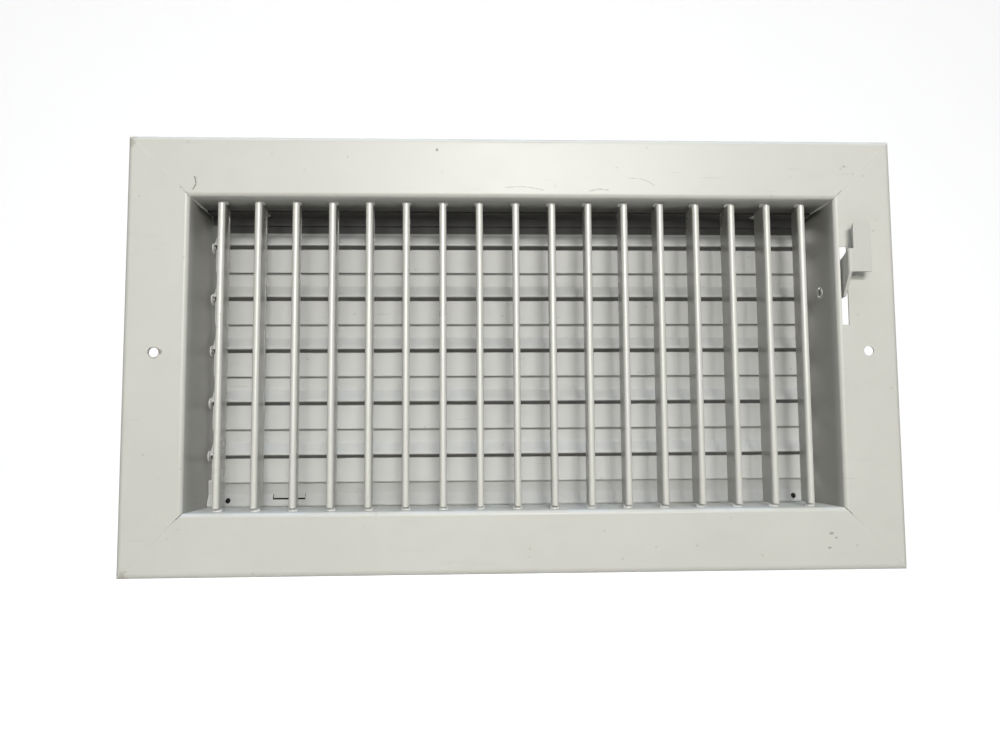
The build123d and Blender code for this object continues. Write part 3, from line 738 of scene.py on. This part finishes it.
FOLD_SHADE_LINES = [
    # painted shade lines: drop below a blade's pivot, half width, strength: one line at the joints,
    # one at the folds
    (0.5 * MM, 0.80 * MM, 0.72), (13.0 * MM, 0.62 * MM, 0.45),
]
TOP_SHADOW_EDGE = (6.9 * MM, 7.5 * MM)    # heights over the top pivot between which the top rail's painted shadow begins
TOP_SHADE_RAMP = (-60 * MM, 60 * MM)       # heights between which painted shade grows towards the top


def damper_marks(n, tone):
    """Painted shade in the joints and folds, painted shade that grows upwards, and the top rail's
    painted shadow across the top blade.
    """
    bare = colours().bare
    everywhere = {"Start": 1 * MM, "Full": 2 * MM}
    top, second = (JOINTS[f"{body}_turn"]["pos_m"][2] for body in BLADES[:2])
    # Painted shade: dark lines under the ridges and in the joints between blades.
    for drop, half, strength in FOLD_SHADE_LINES:
        line = place_effect(n, "fold", Line=top - drop, Pitch=top - second, Half_width=half)
        tone = n.blend(n.times(line["Mask"], strength), tone, colour(bare))
    # Painted shade: the damper darkens towards the top.
    upper = place_effect(n, "depth", Low=TOP_SHADE_RAMP[0], High=TOP_SHADE_RAMP[1], **everywhere)
    tone = n.blend(n.times(upper["Mask"], 0.14), tone, colour(bare))
    # Painted shadow of the top rail across the top blade's upper band.
    head = place_effect(n, "depth", Low=top + TOP_SHADOW_EDGE[0], High=top + TOP_SHADOW_EDGE[1], **everywhere)
    return n.blend(n.times(head["Mask"], 0.92), tone, scaled(bare, 0.5))


def galvanised(name):
    """Bare galvanised sheet with its spangle."""
    material, n, shader = start_material(name)
    where = n.place()
    crystal = n.add("ShaderNodeTexVoronoi", Vector=where, Scale=260.0).outputs["Color"]
    grey = n.add("ShaderNodeSeparateColor", Color=crystal).outputs[0]
    zinc = colours().zinc
    tone = n.blend(grey, scaled(zinc, 0.80), scaled(zinc, 1.12))
    lying = place_effect(n, "dust", Amount=0.5)
    tone = n.blend(n.times(lying["Mask"], 0.5), tone, (0.42, 0.41, 0.39, 1))
    n.put(shader.inputs["Base Color"], tone)
    n.put(shader.inputs["Metallic"], n.minus(0.95, n.times(lying["Mask"], 0.6)))
    n.put(shader.inputs["Roughness"], n.plus(0.30, n.times(grey, 0.22)))
    bump(n, shader, n.noise(where, 700.0, 3.0), 0.02 * MM, 0.5)
    return material


def plated(name):
    """Bright plating with fine turning lines and dull patches."""
    material, n, shader = start_material(name)
    where = n.place()
    dull = n.noise(where, 320.0, 4.0, 0.6)
    base = colours().plating
    n.put(shader.inputs["Base Color"], n.blend(dull, scaled(base, 0.62), colour(base)))
    shader.inputs["Metallic"].default_value = 0.75
    n.put(shader.inputs["Roughness"], n.plus(0.20, n.times(dull, 0.3)))
    bump(n, shader, n.noise(n.stretched(where, scale=(6, 1, 1)), 900.0, 2.0), 0.015 * MM, 0.5)
    return material


def moulded_nylon(name):
    """Milky nylon with a faint grain."""
    material, n, shader = start_material(name)
    where = n.place()
    cloud = n.noise(where, 300.0, 3.0)
    base = colours().nylon
    tone = n.blend(cloud, scaled(base, 0.90), scaled(base, 1.05))
    lying = place_effect(n, "dust", Amount=0.4)
    tone = n.blend(n.times(lying["Mask"], 0.4), tone, (0.55, 0.57, 0.58, 1))
    n.put(shader.inputs["Base Color"], tone)
    n.put(shader.inputs["Roughness"], n.plus(0.34, n.times(cloud, 0.16)))
    bump(n, shader, n.noise(where, 1600.0, 2.0), 0.02 * MM, 0.5)
    return material


FINISHES = {}


def build_finishes():
    build_effects()
    enamel, damper, bare = colours().enamel, colours().damper, colours().bare
    # The face's thin and marks paint shade inside the throat; the damper's under and marks paint
    # shade under ledges, in folds and joints and towards the top.
    FINISHES["face"] = painted(
        "Face enamel", colour(enamel), drift=0.035, roughness=0.37, wear=0.55, dust=0.9,
        smudges=0.35, marks=face_marks, thin=0.36)
    # The fins take a lighter copy of the face enamel, a painted sheen on their noses, and thin
    # paints shade on their sides.
    FINISHES["fin"] = painted(
        "Fin enamel", scaled(enamel, 1.32), drift=0.04, roughness=0.30, wear=0.35, dust=0.2,
        smudges=0.25, gloss=1.0, thin=0.58)
    FINISHES["damper"] = painted(
        "Damper coat", colour(damper), drift=0.07, roughness=0.38, wear=0.45, dust=0.55,
        smudges=0.45, hairlines=0.5, gloss=0.2, marks=damper_marks, under=0.8)
    FINISHES["strip"] = painted(
        "Strip coat", scaled(damper, 0.81), drift=0.10, roughness=0.42, wear=0.5, dust=0.4,
        smudges=0.6, gloss=0.2)
    # The lever takes a darker copy of the face enamel: painted shade that evens out the sheen on
    # its tab.
    FINISHES["lever"] = painted(
        "Lever enamel", scaled(enamel, 0.92), drift=0.04, roughness=0.40, wear=1.0, smudges=0.6,
        gloss=0.35)
    # The top stop strip lies in the top rail's shade: its dark coat is that shade, painted.
    FINISHES["bare"] = painted(
        "Bare dark strip", colour(bare), drift=0.10, roughness=0.5, wear=0.5, dust=0.2,
        hairlines=0.3, smudges=0.4)
    # The seam paint is a whiter coat, brightened so the beads read light deep in the throat's
    # shade: partly a real whiter paint, partly painted light.
    FINISHES["seam"] = painted(
        "Seam paint", scaled(enamel, 1.32), drift=0.03, roughness=0.3, wear=0.0, dust=0.1)
    FINISHES["zinc"] = galvanised("Galvanised sheet")
    FINISHES["plated"] = plated("Zinc plating")
    FINISHES["nylon"] = moulded_nylon("Natural nylon")


# ---- operators --------------------------------------------------------------

class REGISTER_OT_rails(bpy.types.Operator):
    """The four mitred rails of the face, with their lips and throat walls"""

    bl_idname = "register.rails"
    bl_label = "Face Rails"

    def execute(self, context):
        for side in ("top", "bottom", "left", "right"):
            fit_sheet(f"frame_{side}", f"{side}_rail", sizes().cut_edge, "frame", "face",
                      "frame_paint")
        return {"FINISHED"}


class REGISTER_OT_seams(bpy.types.Operator):
    """Paint that bridges the mitres, and the bead along the throat's upper corners"""

    bl_idname = "register.seams"
    bl_label = "Mitre Seams"

    def execute(self, context):
        self.mitre_paint()
        self.corner_beads()
        return {"FINISHED"}

    def mitre_paint(self):
        """A thin sunk line of paint in each mitre, left open for a little at the throat."""
        border = HALF_W - THROAT_X
        sunk, deep = 0.10 * MM, SHEET / 2
        strips = []
        for x, z, crack in ((-1, 1, 5.2), (1, 1, 4.0), (1, -1, 5.0), (-1, -1, 6.0)):
            inner = Vector((x * THROAT_X, 0, z * THROAT_Z))
            along = Vector((x, 0, z)).normalized()
            length = border * math.sqrt(2) - crack * MM - 1.2 * MM
            middle = inner + along * (crack * MM + length / 2)
            behind = Vector((0, sunk + deep / 2, 0))
            strip = primitive("cube", "strip", (length, deep, 0.24 * MM), middle + behind,
                              (0, -math.atan2(z, x), 0))
            pick(strip, "EDGE", lambda e: run_of(strip, e, along) > length / 2)
            bpy.ops.mesh.subdivide(number_cuts=11)
            close_edit()
            for vertex in strip.data.vertices:
                run = (vertex.co - middle).dot(along) / length
                taper = 1 - (2 * abs(run)) ** 6
                front = vertex.co.y < sunk + deep / 2
                ripple = 0.05 * math.sin(37 * run + 2 * x + z) + 0.3 * (1 - taper)
                vertex.co.y += ripple * MM if front else 0
            strips.append(strip)
        paint = outward(joined(strips, "mitre_paint"))
        fit(paint, "frame", "seam", "frame_paint")

    def corner_beads(self):
        """A hand-run bead that wanders in thickness along the two upper corners of the throat."""
        start, stop = 2.4 * MM, THROAT_BACK - 2.0 * MM
        count = 22
        rings = []
        for i in range(count + 1):
            run = i / count
            swell = 1 + 0.22 * math.sin(9 * run) + 0.14 * math.sin(23 * run + 1)
            fade = min(1, 8 * run + 0.15, 6 * (1 - run) + 0.15)
            rings.append((sizes().bead * swell * fade, (stop - start) * run))
        pattern = turned("bead", rings, bore=False)
        wide, high = THROAT_X - 0.1 * MM, THROAT_Z - 0.1 * MM
        places = [((x * wide, start, high), (0, 1, 0)) for x in (-1, 1)]
        beads = set_out(pattern, "corner_beads", places)
        fit(beads, "frame", "seam", "frame_paint")


class REGISTER_OT_corner_plates(bpy.types.Operator):
    """Galvanised gussets behind the mitres and angles along the throat's corners"""

    bl_idname = "register.corner_plates"
    bl_label = "Corner Plates"

    def execute(self, context):
        plates = {"corner_gussets": "mitre_gussets", "collar_corner_angles": "collar_angles"}
        for node, name in plates.items():
            fit_sheet(node, name, sizes().cut_edge, "frame", "zinc", "zinc_steel")
        return {"FINISHED"}


class REGISTER_OT_fins(bpy.types.Operator):
    """The upright teardrop fins, each turned to its own angle about its pivot"""

    bl_idname = "register.fins"
    bl_label = "Fins"

    def execute(self, context):
        pattern = self.pattern()
        for body in FINS:
            turn = JOINTS[f"{body}_turn"]
            pivot = Vector(turn["pos_m"])
            set_angle = -sum(turn["range_deg"]) / 2
            turned_in = Matrix.Translation(pivot) @ Matrix.Rotation(math.radians(set_angle), 4, "Z")
            fin = renamed(copied(pattern, turned_in), f"{body}_blade")
            fit(fin, body, "fin", "fin_paint", body)
        bpy.data.objects.remove(pattern)
        return {"FINISHED"}

    def pattern(self):
        """A fin with its pivot at the origin: a teardrop with a pin at each end."""
        low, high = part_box("fin_02")
        pivot = Vector(JOINTS["fin_02_turn"]["pos_m"])
        thick = high.x - low.x
        chord = high.y - low.y
        front = low.y - pivot.y
        back = front + chord
        pin_top = high.z
        bush_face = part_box("fin_bushes_top")[0].z
        top = bush_face - 0.3 * MM
        tail = 1.0 * MM
        fin = primitive("cube", "fin_pattern", (thick, chord, 2 * top), (0, (front + back) / 2, 0))
        pick(fin, "FACE", lambda f: f.normal.y > 0.9)
        bpy.ops.transform.resize(value=(tail / thick, 1, 1), center_override=(0, back, 0))
        close_edit()
        pick(fin, "EDGE", lambda e: all(v.y < front + WELD for v in ends(fin, e))
             and abs(ends(fin, e)[0].z - ends(fin, e)[1].z) > top)
        bpy.ops.mesh.bevel(offset=thick * 0.46, segments=9, profile=0.5, clamp_overlap=True)
        close_edit()
        self.seam(fin, back, top, tail)
        self.front_corners(fin, front, top)
        rounded(fin, sizes().fin_end, segments=3)
        self.pins(fin, pin_top)
        return fin

    def seam(self, fin, back, top, tail):
        """The fold along the tail: one skin wraps over the other and stands a little proud."""
        for lap in (3.2 * MM, 0.4 * MM):
            edit(fin)
            bpy.ops.mesh.select_all(action="SELECT")
            bpy.ops.mesh.bisect(plane_co=(0, back - lap, 0), plane_no=(0, 1, 0))
            close_edit()
        pick(fin, "FACE", lambda f: abs(f.normal.x) > 0.5 and f.center.x > 0
             and back - 3.3 * MM < f.center.y < back - 0.4 * MM)
        bpy.ops.mesh.inset(thickness=0.0, depth=0.14 * MM, use_boundary=True, use_even_offset=True)
        close_edit()

    def front_corners(self, fin, front, top):
        """Rounds the two front corners as seen from the side."""
        radius = sizes().fin_corner
        for end in (-1, 1):
            pick(fin, "EDGE", lambda e: all(abs(v.z - end * top) < WELD for v in ends(fin, e))
                 and all(v.y < front + 0.7 * MM for v in ends(fin, e)))
            bpy.ops.mesh.bevel(offset=radius * 0.5, segments=5, profile=0.5, clamp_overlap=True)
            close_edit()

    def pins(self, fin, pin_top):
        """Turned pivots that stand out of both ends."""
        radius, length = 1.12 * MM, 3.5 * MM
        rings = [(radius, 0), (radius, length - 0.3 * MM), (radius * 0.8, length)]
        for end in (-1, 1):
            stub = turned("pin", rings, bore=False)
            foot = Matrix.Translation((0, 0, end * (pin_top - length)))
            stub.matrix_world = foot @ standing((0, 0, end))
            settle(stub)
            outward(stub)
            take(fin)
            stub.select_set(True)
            bpy.ops.object.join()


class REGISTER_OT_fin_bushes(bpy.types.Operator):
    """Flanged snap-in bushes at both ends of every fin"""

    bl_idname = "register.fin_bushes"
    bl_label = "Fin Bushes"

    def execute(self, context):
        bore = 1.2 * MM
        for up, name in ((1, "top"), (-1, "bottom")):
            node = f"fin_bushes_{name}"
            flange, over, clip = bush_sizes(node, 2, THROAT_Z)
            collar = clip - 0.25 * MM
            rings = [
                (bore, -flange), (collar - 0.2 * MM, -flange), (collar, -flange + 0.2 * MM),
                (collar, 0), (clip - 0.6 * MM, 0), (clip - 0.6 * MM, SHEET), (clip, SHEET),
                (clip, SHEET + 0.3 * MM), (clip - 0.5 * MM, over), (bore, over),
            ]
            pivots = [JOINTS[f"{body}_turn"]["pos_m"] for body in FINS]
            places = [((x, y, up * THROAT_Z), (0, 0, up)) for x, y, z in pivots]
            bushes = set_out(turned("bush", rings), f"{name}_fin_bushes", places)
            fit(bushes, "frame", "nylon", "nylon", node)
        return {"FINISHED"}


class REGISTER_OT_blades(bpy.types.Operator):
    """The five folded damper blades with their pivot pins"""

    bl_idname = "register.blades"
    bl_label = "Damper Blades"

    def execute(self, context):
        for body in BLADES:
            number = body.rsplit("_", 1)[1]
            fit_sheet(body, f"blade_{number}_sheet", sizes().cut_edge, body, "damper",
                      "damper_paint")
            fit_sheet(f"blade_pins_{number}", f"blade_{number}_pins", sizes().head_edge, body,
                      "plated", "plated_steel")
        return {"FINISHED"}


class REGISTER_OT_blade_bushes(bpy.types.Operator):
    """Round-headed bushes that the blade pins turn in"""

    bl_idname = "register.blade_bushes"
    bl_label = "Blade Bushes"

    def execute(self, context):
        bore = 1.32 * MM
        for right, name in ((1, "right"), (-1, "left")):
            node = f"blade_bushes_{name}"
            flange, over, head = bush_sizes(node, 0, THROAT_X)
            neck = head - 0.5 * MM
            rings = [
                (bore, -flange * 0.8), (head * 0.62, -flange), (head * 0.86, -flange * 0.82),
                (head, -flange * 0.35), (head, 0), (neck, 0), (neck, SHEET), (head, SHEET),
                (head - 0.2 * MM, over), (bore, over),
            ]
            pivots = [JOINTS[f"{body}_turn"]["pos_m"] for body in BLADES]
            places = [((right * THROAT_X, y, z), (right, 0, 0)) for x, y, z in pivots]
            bushes = set_out(turned("bush", rings), f"{name}_blade_bushes", places)
            fit(bushes, "frame", "nylon", "nylon", node)
        return {"FINISHED"}


class REGISTER_OT_tie(bpy.types.Operator):
    """The tie bar that keeps the blades in step, with its rivets"""

    bl_idname = "register.tie"
    bl_label = "Tie Bar"

    def execute(self, context):
        fit_sheet("tie_bar", "blade_tie_bar", sizes().cut_edge, "tie_bar", "damper", "damper_paint")
        fit_sheet("tie_rivets", "tie_bar_rivets", sizes().head_edge, "tie_bar", "plated",
                  "plated_steel")
        return {"FINISHED"}


class REGISTER_OT_strips(bpy.types.Operator):
    """The stop strips above and below the damper, and their rivets"""

    bl_idname = "register.strips"
    bl_label = "Stop Strips"

    def execute(self, context):
        # The top strip takes painted shade for its coat.
        for side, finish in (("top", "bare"), ("bottom", "strip")):
            fit_sheet(f"stop_strip_{side}", f"{side}_stop_strip", sizes().cut_edge, "frame", finish,
                      "damper_paint")
        self.rivets()
        return {"FINISHED"}

    def rivets(self):
        """Blind rivets: a domed head with the broken stem's dimple, and a bulged tail outside."""
        low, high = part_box("strip_rivets")
        head, shank = 2.3 * MM, 1.4 * MM
        rise = 0.8 * MM
        across = high.x - head
        half = (high.z - low.z) / 2
        inner = THROAT_Z - 0.7 * MM
        rings = [
            (0.45 * MM, 0.45 * MM), (0.62 * MM, 0.08 * MM), (1.0 * MM, 0.0), (1.6 * MM, 0.14 * MM),
            (2.05 * MM, 0.38 * MM), (head, 0.68 * MM), (head, rise), (shank, rise),
            (shank, half - inner), (2.0 * MM, half - inner), (head, half - inner + 0.35 * MM),
            (1.8 * MM, half - inner + rise * 0.9), (0.9 * MM, half - inner + rise),
        ]
        pattern = turned("rivet", rings, bore=False)
        places = []
        for up, y in ((1, low.y + head), (-1, high.y - head)):
            places += [((x, y, up * (inner - rise)), (0, 0, up)) for x in (-across, across)]
        rivets = set_out(pattern, "stop_strip_rivets", places)
        fit(rivets, "frame", "plated", "plated_steel", "strip_rivets")


class REGISTER_OT_lever(bpy.types.Operator):
    """The lever, its rolled eyelet and spacer, and the crank and pin that it drives"""

    bl_idname = "register.lever"
    bl_label = "Lever"

    def execute(self, context):
        fit_sheet("lever", "thumb_lever", sizes().stamped_edge, "lever", "lever", "frame_paint")
        for node, name, body in (
            ("lever_spacer", "lever_washer", "frame"),
            ("lever_crank", "blade_crank", "damper_blade_2"),
            ("drive_pin", "crank_pin", "damper_blade_2"),
        ):
            fit_sheet(node, name, sizes().cut_edge * 2, body, "plated", "plated_steel")
        self.eyelet()
        return {"FINISHED"}

    def eyelet(self):
        """A hollow rivet rolled over at both ends."""
        low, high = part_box("lever_eyelet")
        centre = (low + high) / 2
        length = high.x - low.x
        lip = 0.6 * MM
        outer = (high.y - low.y) / 2
        bore, tube = 1.2 * MM, 1.9 * MM
        middle, reach = (outer + bore) / 2, (outer - bore) / 2
        steps = 8
        lips = [(reach * math.cos(math.pi * i / steps), lip * (1 - math.sin(math.pi * i / steps)))
                for i in range(steps + 1)]
        rings = [(middle - aside, rise) for aside, rise in lips]
        rings += [(tube, lip), (tube, length - lip)]
        rings += [(middle + aside, length - rise) for aside, rise in lips]
        pattern = turned("eyelet", rings)
        eyelet = set_out(pattern, "rolled_eyelet", [((low.x, centre.y, centre.z), (1, 0, 0))])
        fit(eyelet, "frame", "plated", "plated_steel", "lever_eyelet")


class REGISTER_OT_stage(bpy.types.Operator):
    """Camera, lights, sky and the pale sweep behind the object"""

    bl_idname = "register.stage"
    bl_label = "Stage"

    def execute(self, context):
        self.camera()
        self.sweep()
        self.dark_card()
        self.sky()
        setup = studio()
        lights = [
            # name, degrees to the right, degrees up, metres away, width and height, watts, colour
            ("Key", 5.5, 21.5, 1.6, (0.56, 0.20), setup.key, (1.0, 0.99, 0.965)),
            ("Front", -2, 8, 1.4, (0.70, 0.24), setup.front, (1.0, 0.995, 0.975)),
            ("Overhead", 0, 75, 1.2, (1.0, 0.7), setup.overhead, (0.78, 0.87, 1.0)),
            ("Rear", 196, 32, 1.5, (0.9, 0.6), setup.rear, (1.0, 0.99, 0.97)),
        ]
        for name, right, up, away, size, watts, tint in lights:
            right, up = math.radians(right), math.radians(up)
            level = away * math.cos(up)
            spot = Vector((level * math.sin(right), -level * math.cos(right), away * math.sin(up)))
            self.light(name, spot, size, watts, tint)
        return {"FINISHED"}

    def camera(self):
        setup = studio()
        data = bpy.data.cameras.new("Camera")
        data.lens = setup.lens
        data.sensor_width = 36.0
        data.clip_start = 0.01
        camera = bpy.data.objects.new("Camera", data)
        camera.location = setup.eye
        camera.rotation_euler = setup.aim
        bpy.context.scene.collection.objects.link(camera)
        bpy.context.scene.camera = camera
        bpy.context.scene.view_settings.view_transform = "Standard"

    def light(self, name, spot, size, watts, tint):
        data = bpy.data.lights.new(name, "AREA")
        data.shape = "RECTANGLE"
        data.size, data.size_y = size
        data.energy = watts
        data.color = tint
        lamp = bpy.data.objects.new(name, data)
        lamp.location = spot
        lamp.rotation_euler = (-spot).to_track_quat("-Z", "Y").to_euler()
        lamp.visible_camera = False
        bpy.context.scene.collection.objects.link(lamp)

    def sweep(self):
        """A pale floor that curves up into a backdrop."""
        floor, back, front, high, wide = -0.46, 1.7, -3.0, 2.2, 3.2
        radius = 0.7
        size = (2 * wide, back - front, 1)
        sweep = primitive("plane", "sweep", size, (0, (front + back) / 2, floor))
        pick(sweep, "EDGE", lambda e: all(v.y > back - WELD for v in ends(sweep, e)))
        bpy.ops.mesh.extrude_edges_move(TRANSFORM_OT_translate={"value": (0, 0, high - floor)})
        close_edit()
        pick(sweep, "EDGE", lambda e: all(
            v.y > back - WELD and v.z < floor + WELD for v in ends(sweep, e)))
        bpy.ops.mesh.bevel(offset=radius, segments=24, profile=0.5)
        close_edit()
        take(sweep)
        bpy.ops.object.shade_smooth()
        material, n, shader = start_material("Pale sweep")
        where = n.place()
        cloud = n.noise(where, 3.0, 3.0)
        tone = n.blend(cloud, (0.62, 0.62, 0.62, 1), (0.66, 0.66, 0.66, 1))
        n.put(shader.inputs["Base Color"], tone)
        shader.inputs["Roughness"].default_value = 0.9
        shader.inputs["Specular IOR Level"].default_value = 0.1
        seen = n.add("ShaderNodeLightPath").outputs["Is Camera Ray"]
        glow = n.add("ShaderNodeEmission", Strength=n.times(seen, 0.80))
        both = n.add("ShaderNodeAddShader")
        n.put(both.inputs[0], shader.outputs[0])
        n.put(both.inputs[1], glow.outputs[0])
        n.put(material.node_tree.nodes["Material Output"].inputs["Surface"], both.outputs[0])
        sweep.data.materials.append(material)

    def dark_card(self):
        """A dark card at the throat's back, seen by the camera only from the front: painted shade
        that reads as a dark duct behind the throat.
        """
        card = primitive("plane", "dark_card", (2 * THROAT_X, 2 * THROAT_Z, 1),
                         (0, THROAT_BACK + 0.4 * MM, 0), (math.pi / 2, 0, 0))
        material, n, shader = start_material("Dark card")
        cloud = n.noise(n.place(), 12.0, 3.0)
        tone = n.blend(cloud, (0.030, 0.028, 0.025, 1), (0.050, 0.046, 0.042, 1))
        n.put(shader.inputs["Base Color"], tone)
        shader.inputs["Roughness"].default_value = 0.9
        behind = n.add("ShaderNodeNewGeometry").outputs["Backfacing"]
        seen = n.add("ShaderNodeLightPath").outputs["Is Camera Ray"]
        n.put(shader.inputs["Alpha"], n.times(seen, n.minus(1.0, behind)))
        card.data.materials.append(material)

    def sky(self):
        """Light from all round that fades towards the floor."""
        world = bpy.data.worlds.new("Sky")
        world.use_nodes = True
        n = Nodes(world.node_tree)
        direction = n.add("ShaderNodeTexCoord").outputs["Generated"]
        lift = n.step(n.axes(direction)["Z"], -0.35, 0.75)
        tint = n.blend(lift, (0.30, 0.30, 0.29, 1), (0.92, 0.96, 1.0, 1))
        seen = n.add("ShaderNodeLightPath").outputs["Is Camera Ray"]
        shown = n.blend(seen, tint, (1, 1, 1, 1))
        strength = n.plus(n.times(seen, 1.0 - studio().sky), studio().sky)
        background = world.node_tree.nodes["Background"]
        n.put(background.inputs["Color"], shown)
        n.put(background.inputs["Strength"], strength)
        bpy.context.scene.world = world


class REGISTER_PT_panel(bpy.types.Panel):
    """Sidebar panel with one button for each group of pieces"""

    bl_label = "Supply Register"
    bl_idname = "REGISTER_PT_panel"
    bl_space_type = "VIEW_3D"
    bl_region_type = "UI"
    bl_category = "Register"

    def draw(self, context):
        for group in (sizes(), colours(), studio()):
            for name in group.__annotations__:
                self.layout.prop(group, name)
        for step in STEPS:
            self.layout.operator(step.bl_idname)


STEPS = (
    REGISTER_OT_stage, REGISTER_OT_rails, REGISTER_OT_seams, REGISTER_OT_corner_plates,
    REGISTER_OT_fins, REGISTER_OT_fin_bushes, REGISTER_OT_blades, REGISTER_OT_blade_bushes,
    REGISTER_OT_tie, REGISTER_OT_strips, REGISTER_OT_lever,
)
CLASSES = (RegisterSizes, RegisterColours, RegisterStudio, *STEPS, REGISTER_PT_panel)


def register():
    for kind in CLASSES:
        bpy.utils.register_class(kind)
    bpy.types.Scene.register_sizes = PointerProperty(type=RegisterSizes)
    bpy.types.Scene.register_colours = PointerProperty(type=RegisterColours)
    bpy.types.Scene.register_studio = PointerProperty(type=RegisterStudio)


def unregister():
    del bpy.types.Scene.register_studio
    del bpy.types.Scene.register_colours
    del bpy.types.Scene.register_sizes
    for kind in reversed(CLASSES):
        bpy.utils.unregister_class(kind)


def main():
    register()
    build_finishes()
    bpy.ops.register.stage()
    bpy.ops.register.rails()
    bpy.ops.register.seams()
    bpy.ops.register.corner_plates()
    bpy.ops.register.fins()
    bpy.ops.register.fin_bushes()
    bpy.ops.register.blades()
    bpy.ops.register.blade_bushes()
    bpy.ops.register.tie()
    bpy.ops.register.strips()
    bpy.ops.register.lever()


if __name__ == "__main__":
    main()
